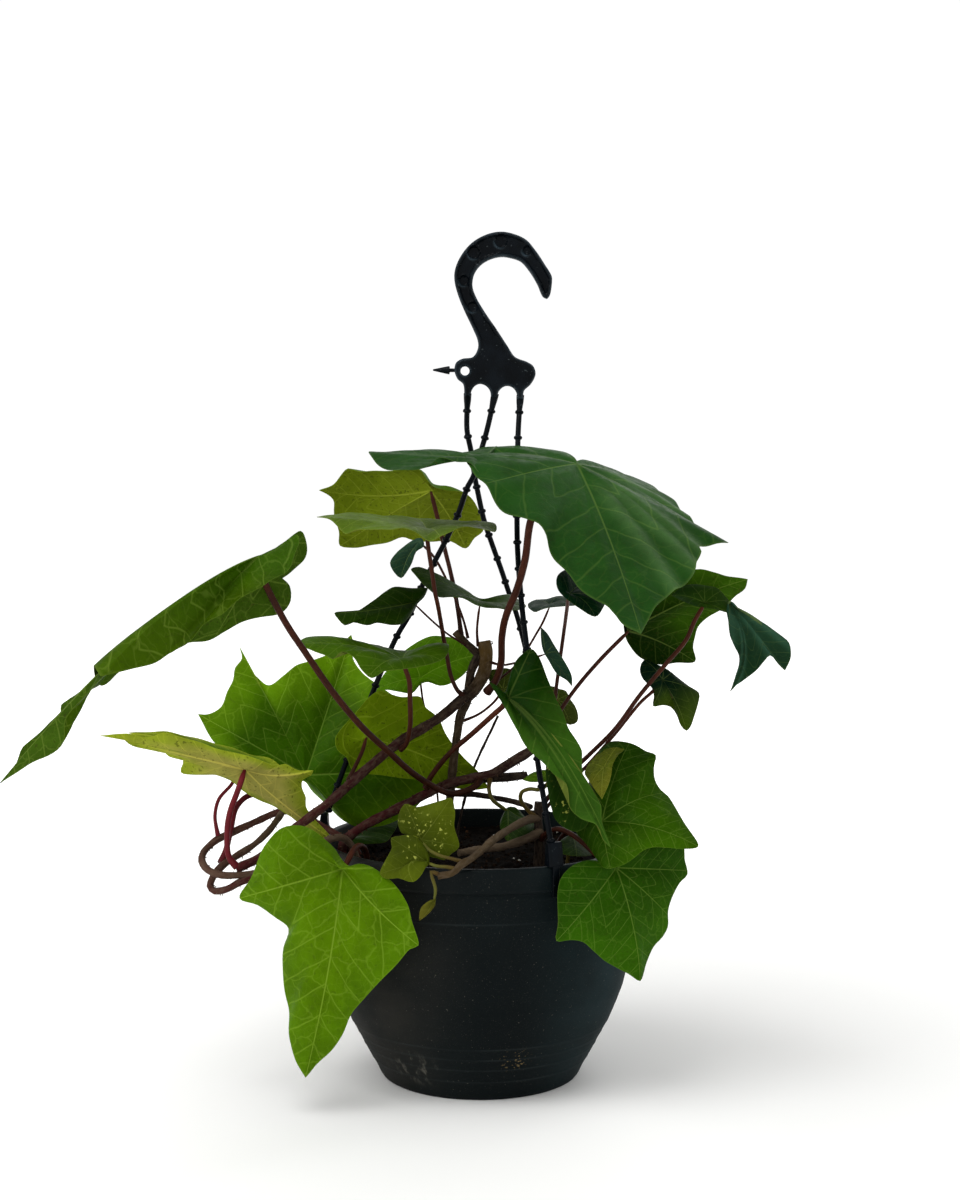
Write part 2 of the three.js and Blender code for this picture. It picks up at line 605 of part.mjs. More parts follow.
    edge: [
      [531, 649, -64], [538, 657, -67], [549, 682, -72], [556, 698, -76], [563, 713, -80],
      [568, 729, -84], [577, 741, -88], [582, 750, -90], [582, 763, -93], [584, 779, -96],
      [593, 793, -98], [601, 806, -100], [602, 820, -102], [611, 848, -104], [603, 840, -104],
      [597, 826, -104], [581, 818, -102], [570, 807, -102], [569, 799, -101], [566, 784, -100],
      [554, 775, -98], [541, 760, -95], [525, 745, -92], [515, 727, -90], [504, 706, -85],
      [496, 693, -80], [489, 682, -76], [498, 690, -76], [505, 693, -75], [508, 684, -72],
      [512, 670, -68], [518, 658, -64],
    ],
    stalk: [
      [503, 706, -70], [493, 715, -62], [473, 733, -44], [452, 751, -29],
      [437, 768, -19], [429, 780, -15], [426, 788, -13],
    ],
  },
  {
    name: "right_upper_leaf", joint: [602, 822, -66], tip: 11, rib: [652, 832, -76], dome: 5,
    radius: 1.8,
    edge: [
      [598, 755, -32], [610, 742, -30], [626, 742, -32], [636, 745, -34], [646, 751, -38],
      [656, 756, -42], [654, 768, -46], [655, 780, -50], [661, 790, -54], [668, 796, -58],
      [684, 823, -72], [698, 846, -84], [683, 849, -86], [669, 848, -86], [653, 848, -87],
      [643, 851, -88], [633, 858, -90], [620, 866, -91], [606, 869, -92], [598, 861, -84],
      [591, 850, -74], [584, 841, -65], [576, 831, -57], [580, 815, -50], [584, 800, -45],
      [588, 785, -40], [592, 770, -36],
    ],
    lobes: [
      {
        name: "right_upper_flap", joint: [604, 768, -54], tip: 8, rib: [603, 783, -65], dome: 1,
        edge: [
          [596, 755, -32.5], [608, 745, -30.6], [620, 744, -31.5], [624, 750, -38], [619, 754, -45],
          [613, 764, -54], [611, 776, -63], [608, 787, -71], [602, 799, -78], [596, 791, -68],
          [588.5, 780, -56], [585, 772, -45],
        ],
      },
    ],
    stalk: [
      [592, 823, -53], [580, 825, -38], [566, 832, -16], [557, 846, -10],
      [553, 864, -10],
    ],
  },
  {
    name: "right_lower_leaf", joint: [616, 868, -81], tip: 14, rib: [632, 924, -94], dome: 2,
    radius: 1.8,
    edge: [
      [593, 860, -82], [581, 862, -88], [570, 868, -94], [561, 878, -99], [558, 889, -101],
      [557, 906, -103], [558, 926, -104], [557, 941, -105], [570, 940, -103], [583, 942, -101],
      [593, 951, -100], [603, 960, -98], [616, 967, -96], [629, 974, -95], [640, 981, -94],
      [643, 975, -92], [646, 962, -88], [653, 947, -84], [663, 937, -80], [668, 927, -78],
      [668, 911, -75], [673, 894, -70], [679, 883, -66], [688, 874, -62], [685, 859, -61],
      [683, 846, -62], [669, 843, -66], [654, 843, -70], [640, 847, -74], [628, 857, -77],
      [618, 864, -79], [605, 862, -80],
    ],
    stalk: [
      [608, 864, -76], [594, 853, -68], [582, 842, -58], [571, 834, -50],
      [558, 829, -42], [547, 833, -34], [541, 839, -28],
    ],
  },
  {
    name: "front_left_leaf", joint: [343, 869, -88], tip: 17, rib: [332, 970, -97], dome: 8,
    radius: 2.0,
    edge: [
      [334, 848, -80], [317, 833, -76], [300, 826, -74], [282, 828, -74], [265, 846, -76],
      [258, 861, -77], [250, 879, -78], [240, 898, -80], [258, 905, -82], [276, 918, -84],
      [288, 929, -86], [284, 948, -87], [283, 966, -88], [285, 994, -90], [289, 1013, -92],
      [290, 1037, -93], [295, 1059, -94], [305, 1078, -95], [317, 1064, -95], [332, 1050, -96],
      [343, 1033, -97], [351, 1014, -98], [365, 998, -100], [380, 981, -102], [396, 965, -104],
      [410, 949, -106], [419, 945, -107], [411, 920, -107], [407, 904, -106], [393, 883, -104],
      [374, 868, -100], [359, 864, -95], [349, 866, -90], [342, 860, -84],
    ],
    stalk: [
      [349, 858, -82], [355, 848, -73], [361, 846, -62], [366, 852, -52],
      [368, 870, -47],
    ],
  },
  {
    name: "variegated_upper_leaf", joint: [421, 840, -92], tip: 4, rib: [436, 820, -85], dome: 2,
    radius: 1.1,
    edge: [
      [405, 804, -82], [417, 807, -82], [426, 805, -81], [444, 800, -79], [451, 798, -78],
      [455, 813, -81], [454, 826, -84], [459, 847, -90], [451, 854, -93], [444, 860, -95],
      [437, 858, -95], [429, 856, -95], [423, 846, -93.5], [417, 838, -91], [409, 835, -90],
      [402, 833, -88], [399, 827, -86], [398, 818, -84],
    ],
    stalk: [
      [429, 850, -98.5], [441, 856, -101.5], [453, 859, -102], [463, 862, -102],
    ],
  },
  {
    name: "variegated_lower_leaf", joint: [427, 862, -102], tip: 9, rib: [409, 864, -104], dome: 2,
    radius: 1.1,
    edge: [
      [391, 838, -98], [400, 836, -98], [409, 835, -98], [417, 838, -99], [425, 847, -100],
      [429, 856, -101], [429, 864, -103], [425, 868, -104], [422, 874, -105], [413, 882, -107],
      [398, 878, -106], [387, 879, -106], [380, 874, -105], [388, 856, -102], [392, 848, -100],
    ],
    stalk: [[436, 866, -105], [447, 867, -106], [456, 869, -106]],
  },
  {
    name: "hanging_bud", joint: [434, 901, -108], tip: 2, rib: [428, 911, -108], dome: 1, radius: 1.1,
    edge: [
      [431, 900, -108], [421, 908, -108], [419, 921, -108], [428, 914, -108], [435, 905, -108],
      [436, 899, -108],
    ],
    stalk: [
      [435.5, 889, -108], [432, 877, -107.5], [431, 872, -107],
      [438, 874, -107],
    ],
  },
  {
    name: "flecked_dark_leaf", joint: [553, 768, -52], tip: 5, rib: [569, 797, -62], dome: 2,
    radius: 1.4,
    edge: [
      [546, 762, -52], [556, 766, -52], [570, 775, -56], [582, 790, -61], [590, 810, -67],
      [588, 824, -71], [577, 832, -75], [566, 829, -75], [556, 820, -73], [551, 806, -68],
      [548, 790, -62], [546, 775, -56],
    ],
    stalk: [
      [548, 783, -50], [540, 789.5, -46], [530, 789, -41], [522, 792, -37],
      [520.5, 799, -34], [526, 808, -31], [535, 817, -28],
    ],
  },
  {
    name: "soil_leaf", joint: [508, 810, -10], tip: 5, rib: [518, 818, -15], dome: 1, radius: 1.4,
    edge: [
      [500, 826, -25], [503, 815, -12], [508, 808, -6], [516, 808, -6], [524, 816, -12],
      [534, 824, -20], [532, 834, -32], [520, 839, -38], [508, 841, -42], [503, 834, -34],
    ],
    stalk: [[500, 806, -14], [492, 799, -17], [489, 790, -16], [490, 779, -8]],
  },
  {
    name: "rim_leaf", joint: [574, 838, -30], tip: 5, rib: [584, 845, -38], dome: 1, radius: 1.2,
    edge: [
      [560, 842, -40], [566, 837, -28], [574, 834, -22], [584, 837, -24], [590, 844, -34],
      [594, 853, -46], [584, 856, -54], [573, 856, -55], [563, 854, -50], [560, 848, -45],
    ],
    stalk: [[571, 846, -24], [568, 856, -22], [567, 870, -22]],
  },
  {
    name: "slate_right_leaf", joint: [545, 654, -31], tip: 6, rib: [558, 668, -35], dome: 1,
    radius: 0.8,
    edge: [
      [541, 627, -20], [547, 633, -22], [554, 645, -26], [561, 656, -30], [568, 668, -34],
      [572, 678, -37], [572, 686, -38], [567, 680, -42], [557, 674, -40], [549, 661, -36],
      [543, 650, -30], [541, 638, -24],
    ],
    stalk: [[530, 659, -22], [515, 663, -14], [501, 665, -5], [490, 662, 0]],
  },
  {
    name: "olive_low_leaf", joint: [557, 700, 0], tip: 7, rib: [564, 712, -2], dome: 1, radius: 1.2,
    edge: [
      [550, 686, 2], [559, 689, 4], [566, 691, 6], [570, 699, 6], [575, 706, 5], [578, 715, 3],
      [577, 722, 0], [570, 725, -4], [562, 721, -6], [555, 715, -5], [549, 706, -2], [547, 695, 0],
    ],
    stalk: [[550, 711, -4], [548, 722, -11], [549, 733, -17]],
  },
  {
    name: "olive_inner_leaf", joint: [503, 690, 4], tip: 5, rib: [503, 695, 2], dome: 1, radius: 0.9,
    edge: [
      [487, 672, 10], [497, 669, 12], [510, 669, 12], [516, 680, 8], [512, 693, 4], [502, 699, 2],
      [494, 690, 5], [489, 680, 8],
    ],
    stalk: [[494, 702, 6], [479, 714, 7], [463, 721, 5]],
  },
  {
    name: "olive_side_leaf", joint: [546, 776, -33], tip: 0, rib: [534, 777, -35], dome: 1,
    radius: 1.0,
    edge: [
      [523, 780, -35], [530, 774, -32], [538, 771, -30], [546, 770, -30], [550, 777, -34],
      [546, 782, -38], [538, 782, -40], [530, 782, -38],
    ],
    stalk: [[551, 766, -28], [551, 752, -24], [549, 740, -21]],
  },
];

function arch(share) {
  return 4 * share * (1 - share);
}

// A blade is two rings of corners round its joint. Each triangle of that sheet is thickened along the
// normals at its corners, and the union of them is the blade, so that a folded one never crosses itself.
function blade(leaf) {
  const joint = sight(leaf.joint);
  const edge = leaf.edge.map(sight);
  const count = edge.length;
  const facing = new THREE.Vector3();
  for (let i = 0; i < count; i += 1) {
    const here = edge[i].clone().sub(joint);
    const next = edge[(i + 1) % count].clone().sub(joint);
    facing.add(next.cross(here));
  }
  facing.normalize();
  if (facing.dot(EYE.clone().sub(joint)) < 0) {
    facing.negate();
  }
  const middle = joint.clone().add(edge[leaf.tip]).multiplyScalar(0.5);
  const bow = sight(leaf.rib).sub(middle);
  const sheet = [joint];
  for (const share of [0.5, 1]) {
    for (let i = 0; i < count; i += 1) {
      const away = Math.abs(i - leaf.tip);
      const turn = Math.min(away, count - away) / (count / 2);
      const follow = Math.max(0, 1 - 1.8 * turn) ** 2;
      const point = joint.clone().lerp(edge[i], share);
      point.addScaledVector(bow, arch(share) * follow);
      point.addScaledVector(facing, arch(share) * leaf.dome);
      sheet.push(point);
    }
  }
  const faces = [];
  for (let i = 0; i < count; i += 1) {
    const inner = 1 + i;
    const innerNext = 1 + ((i + 1) % count);
    const outer = inner + count;
    const outerNext = innerNext + count;
    faces.push([0, innerNext, inner], [inner, innerNext, outerNext], [inner, outerNext, outer]);
  }
  return thickened(sheet, faces);
}

function thickened(sheet, faces) {
  const flat = new THREE.BufferGeometry().setFromPoints(sheet);
  flat.setIndex(faces.flat());
  flat.computeVertexNormals();
  const sides = sheet.map((point, i) => {
    const normal = new THREE.Vector3().fromBufferAttribute(flat.attributes.normal, i);
    return [0.5, -0.5].map((side) => {
      return point.clone().addScaledVector(normal, side * BLADE_THICKNESS).toArray();
    });
  });
  const slices = faces.map((face) => wasm.Manifold.hull(face.flatMap((i) => sides[i])));
  return wasm.Manifold.union(slices.filter((slice) => slice.volume() > LEAST_SLICE));
}

function leafSolid(leaf, clearances) {
  const blades = [leaf, ...(leaf.lobes ?? [])].map(blade);
  let solid = joined([...blades, rod([leaf.joint, ...leaf.stalk], leaf.radius, STALK_SIDES, 1)]);
  for (const other of clearances) {
    solid = solid.subtract(other);
  }
  return largestPiece(solid);
}

// Materials

const FINISHES = {
  pot: [0x17191b, 0.62],
  soil: [0x1b1511, 0.95],
  hanger: [0x101214, 0.45],
  bark: [0x3c2a22, 0.85],
  leaf_dark: [0x24501f, 0.45],
  leaf_bright: [0x5a8f1c, 0.5],
  leaf_olive: [0x6f7b2c, 0.6],
};
const BRIGHT_LEAVES = new Set([
  "front_left_leaf", "right_lower_leaf", "right_upper_leaf", "big_back_leaf", "bright_mid_leaf",
]);
const OLIVE_LEAVES = new Set([
  "pale_left_leaf", "olive_leaf", "upper_back_leaf", "right_back_leaf", "variegated_upper_leaf",
  "variegated_lower_leaf", "hanging_bud", "olive_low_leaf", "olive_inner_leaf", "olive_side_leaf",
]);

function leafFinish(name) {
  if (BRIGHT_LEAVES.has(name)) {
    return "leaf_bright";
  }
  return OLIVE_LEAVES.has(name) ? "leaf_olive" : "leaf_dark";
}

const plant = new THREE.Group();

function addNode(name, solid, finish) {
  const [color, roughness] = FINISHES[finish];
  const material = new THREE.MeshStandardMaterial({ color, roughness, metalness: 0 });
  const mesh = new THREE.Mesh(geometryOf(solid), material);
  mesh.name = name;
  plant.add(mesh);
}

// Assembly

const soilTop = turned(
  [[0, -POT_HEIGHT - 60], [RIM_RADIUS, -POT_HEIGHT - 60], [RIM_RADIUS, -SOIL_BELOW_RIM + GAP],
    [0, -SOIL_BELOW_RIM + GAP]],
  POT_SEGMENTS,
);

addNode("pot", pot(), "pot");
addNode("soil", soil(), "soil");
addNode("hook_plate", hookPlate(), "hanger");
for (const [name, places] of Object.entries(STRANDS)) {
  addNode(name, rod(places, STRAND_RADIUS, STALK_SIDES, 1), "hanger");
}
for (const [name, turn] of [["clip_front", 0], ["clip_back", 120], ["clip_left", 240]]) {
  addNode(name, clip(FRONT_CLIP_ANGLE + turn), "hanger");
}

const stemClearances = [];
for (const [name, branches] of Object.entries(STEMS)) {
  let solid = stem(branches).subtract(soilTop);
  for (const other of stemClearances) {
    solid = solid.subtract(other);
  }
  addNode(name, largestPiece(solid), "bark");
  stemClearances.push(stem(branches, GAP));
}
for (const leaf of LEAVES) {
  addNode(leaf.name, leafSolid(leaf, [soilTop, ...stemClearances]), leafFinish(leaf.name));
}

plant.position.copy(HOOK_SEAT).negate();
const part = new THREE.Group();
part.add(plant);

export default part;
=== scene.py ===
"""Potted canary island ivy in a black hanging pot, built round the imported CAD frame, in metres."""
import math

import bmesh
import bpy
import numpy as np
from bpy.props import FloatProperty, FloatVectorProperty, IntProperty, PointerProperty
from mathutils import Matrix, Vector, noise
from mathutils.geometry import delaunay_2d_cdt


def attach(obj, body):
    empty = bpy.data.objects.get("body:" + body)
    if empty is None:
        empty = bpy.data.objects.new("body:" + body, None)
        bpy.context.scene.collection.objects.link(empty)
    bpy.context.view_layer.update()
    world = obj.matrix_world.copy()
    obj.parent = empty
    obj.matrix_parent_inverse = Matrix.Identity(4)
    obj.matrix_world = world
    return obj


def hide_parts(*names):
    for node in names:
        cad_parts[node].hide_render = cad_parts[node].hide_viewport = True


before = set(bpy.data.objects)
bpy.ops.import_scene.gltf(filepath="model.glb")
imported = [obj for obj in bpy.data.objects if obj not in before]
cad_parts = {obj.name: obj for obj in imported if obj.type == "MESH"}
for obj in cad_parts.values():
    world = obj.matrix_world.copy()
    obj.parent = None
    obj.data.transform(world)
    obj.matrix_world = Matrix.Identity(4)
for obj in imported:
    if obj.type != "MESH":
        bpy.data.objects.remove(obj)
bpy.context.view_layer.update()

bl_info = {
    "name": "Potted canary island ivy",
    "version": (1, 0, 0),
    "blender": (4, 5, 0),
    "location": "3D View > Sidebar > Ivy",
    "description": "Hanging pot with its moulded hook and a canary island ivy",
    "category": "Add Mesh",
}

MM = 0.001

# Places are written as [right, down, behind], as in the CAD source: right and down in steps of the
# view from the front, 960 wide and 1200 high, and behind in millimetres from the pot's axis.
VIEW_WIDTH = 960
VIEW_HEIGHT = 1200
VIEW_LENGTH = 2000
EYE_DISTANCE = 1.25
EYE_ABOVE_RIM = 0.2486
EYE_TILT = math.radians(4.5)


def from_axis(place):
    """Turns a written place into metres from the middle of the pot's rim plane."""
    right, down, behind = place
    across = (right - VIEW_WIDTH / 2) / VIEW_LENGTH
    rise = (VIEW_HEIGHT / 2 - down) / VIEW_LENGTH
    forward = math.cos(EYE_TILT) + rise * math.sin(EYE_TILT)
    up = rise * math.cos(EYE_TILT) - math.sin(EYE_TILT)
    reach = (EYE_DISTANCE + behind * MM) / forward
    return np.array([across * reach, behind * MM, EYE_ABOVE_RIM + up * reach])


SEAT = from_axis((501, 257, 0))
RIM_MIDDLE = -SEAT
RIM_HEIGHT = float(RIM_MIDDLE[2])
EYE = RIM_MIDDLE + np.array([0, -EYE_DISTANCE, EYE_ABOVE_RIM])


def sight(place):
    """Turns a written place into metres from the seat of the hook, which is the frame's origin."""
    return from_axis(place) - SEAT


def sights(numbers):
    """Turns places written one after the other into rows of metres from the seat of the hook."""
    return np.array([sight(numbers[i:i + 3]) for i in range(0, len(numbers), 3)])


# Pot: profiles are [radius, height above the rim plane] in millimetres
POT_HEIGHT = 150
SOIL_BELOW_RIM = 12
OUTER_PROFILE = [
    (61.5, -150), (63.5, -148), (66, -142.5), (72, -132), (77.2, -121.8), (82.9, -111.4),
    (87.2, -101), (91, -90.7), (93.8, -78), (95.5, -60), (97, -33.4), (97.5, -15.2),
]
LIP_PROFILE = [
    (97.6, -15.5), (98.6, -15), (99.4, -14.4), (99.75, -13.2), (100, -2.2), (99.8, -1),
    (99.2, -0.2), (98.4, 0), (96.2, 0), (95.6, -0.4), (95.3, -1.2),
]
INNER_PROFILE = [
    (95, -15), (93.4, -60), (88.9, -90.7), (80.8, -111.4), (69.8, -132), (61.5, -146.2),
]
FOOT_PROFILE = [(0, -148.6), (56, -148.6), (57.5, -150), (61.3, -150), (62.4, -149.4)]

# Middle lines of the stems and strands, and below the margins and stalks of the leaves: places are
# written one after the other
TRUNK = [448, 856, 5, 450, 800, 5, 456, 743, 4, 461, 714, 3, 467, 701, 3, 471, 672, 3, 479, 655, 4]
STUB = [484, 641, 4, 486, 655, 3, 484, 672, 1, 474, 690, -3, 467, 696, -4]
SPUR = [455, 632, 7, 465, 642, 5, 479, 655, 4]
LONG_STEM = [
    474, 690, -3, 467, 695, -4, 439, 718, -10, 400, 742, -18, 362, 773, -28, 332, 800, -38,
    297, 827, -44, 262, 856, -50, 236, 869, -54]
UPPER_LOOP = [
    360, 862, -18, 348, 846, -16, 334, 833, -14, 318, 824, -12, 300, 813, -12, 283, 811, -12,
    251, 824, -18, 229, 834, -26, 215, 841, -35, 204, 852, -42, 202, 861, -48, 208, 870, -52,
    222, 875, -55, 242, 875, -57, 262, 872, -58, 285, 866, -58, 312, 848, -56, 330, 839, -52,
    343, 838, -46, 354, 850, -41, 358, 868, -39]
LOWER_LOOP = [
    283, 811, -12, 277, 820, -20, 268, 832, -28, 251, 847, -36, 233, 858, -43, 222, 866, -45,
    213, 877, -46, 210, 886, -48, 215, 891, -52, 227, 889, -55, 242, 881, -57, 262, 874, -58]
SECOND_STEM = [
    342, 864, -17, 342, 850, -18, 346, 840, -21, 362, 827, -22, 397, 809, -18, 426, 794, -12,
    448, 784, -8, 478, 777, -6, 493, 773, -8, 515, 760, -14, 530, 751, -18, 548, 737, -20,
    556, 722, -22]
BROKEN_BRANCH = [478, 777, -6, 489, 778, -4, 510, 777, -1, 527, 775, 1]
CROWN = [539, 870, -25, 539, 838, -25, 538, 815, -25, 539, 802, -25]
UPPER_RUNNER = [
    538, 818, -25, 530, 819, -31, 515, 826, -46, 496, 838, -66, 482, 850, -84, 471, 859, -97,
    462, 864, -104, 452, 873, -107, 438, 876, -106.5]
LOWER_RUNNER = [540, 832, -26, 533, 836, -32, 506, 846, -48, 485, 849, -58, 459, 853, -70]
THIN_RUNNER = [446, 793, 12, 478, 795, 10, 496, 798, 6, 515, 802, -2, 531, 807, -14]
THIN_SHOOT = [452, 862, 24, 463, 806, 20, 474, 768, 15, 498, 716, 12]
HOOK_OUTLINE = [
    (547, 299), (549.6, 296), (552, 281), (551.6, 276.5), (544, 263.5), (536, 251.5), (526, 240),
    (513, 234), (500, 232), (486, 235), (472, 243), (461, 256), (455, 270), (454.5, 281),
    (458, 295), (464, 310), (473, 329), (477.5, 340), (478, 348), (473, 357), (462, 359),
    (456, 363), (454.5, 371), (457.5, 379), (463, 384), (464.5, 397), (470.5, 397), (471.5, 391),
    (475, 386), (480, 384), (486, 386), (490, 391), (491, 397), (497, 397), (498.5, 392),
    (502.5, 387.5), (507.5, 386), (513, 388), (516.5, 393), (517, 399), (523, 399), (524, 391),
    (531, 384), (535.5, 374), (533, 366), (527, 362), (515, 357), (508, 347), (497, 330),
    (484, 311), (475.5, 296), (472.5, 286), (474, 275), (480, 266), (489, 260), (501, 257),
    (512, 258.5), (521, 262), (529, 271), (537, 284), (543, 297),
]
STRANDS = {
    "strand_front": [
        520, 401.5, 0, 518, 437, -8, 517, 521, -24, 518, 558, -32, 522, 607, -41, 527, 650, -49,
        537, 756, -70, 540, 777, -74, 545, 806, -80, 550.5, 841, -89],
    "strand_back": [
        467.5, 399.8, 0, 467, 430, 6, 471, 451, 11, 475, 478, 16, 478, 493, 19, 484, 520, 25,
        492, 544, 30, 501, 569, 35, 509, 593, 40, 517, 616, 44, 534, 684, 58, 549, 746, 70,
        559, 787, 79.5],
    "strand_left": [
        493.8, 399.8, 0, 487, 430, 0.5, 481, 451, 1, 472.6, 478, 1.5, 468, 486, 1.7, 458.5, 513, 2,
        447, 538, 2.5, 436, 559, 3, 423.5, 583, 3.3, 411, 612, 3.8, 397, 636, 4.2, 381, 672, 5,
        352, 747, 6, 328.5, 810, 6.8],
}
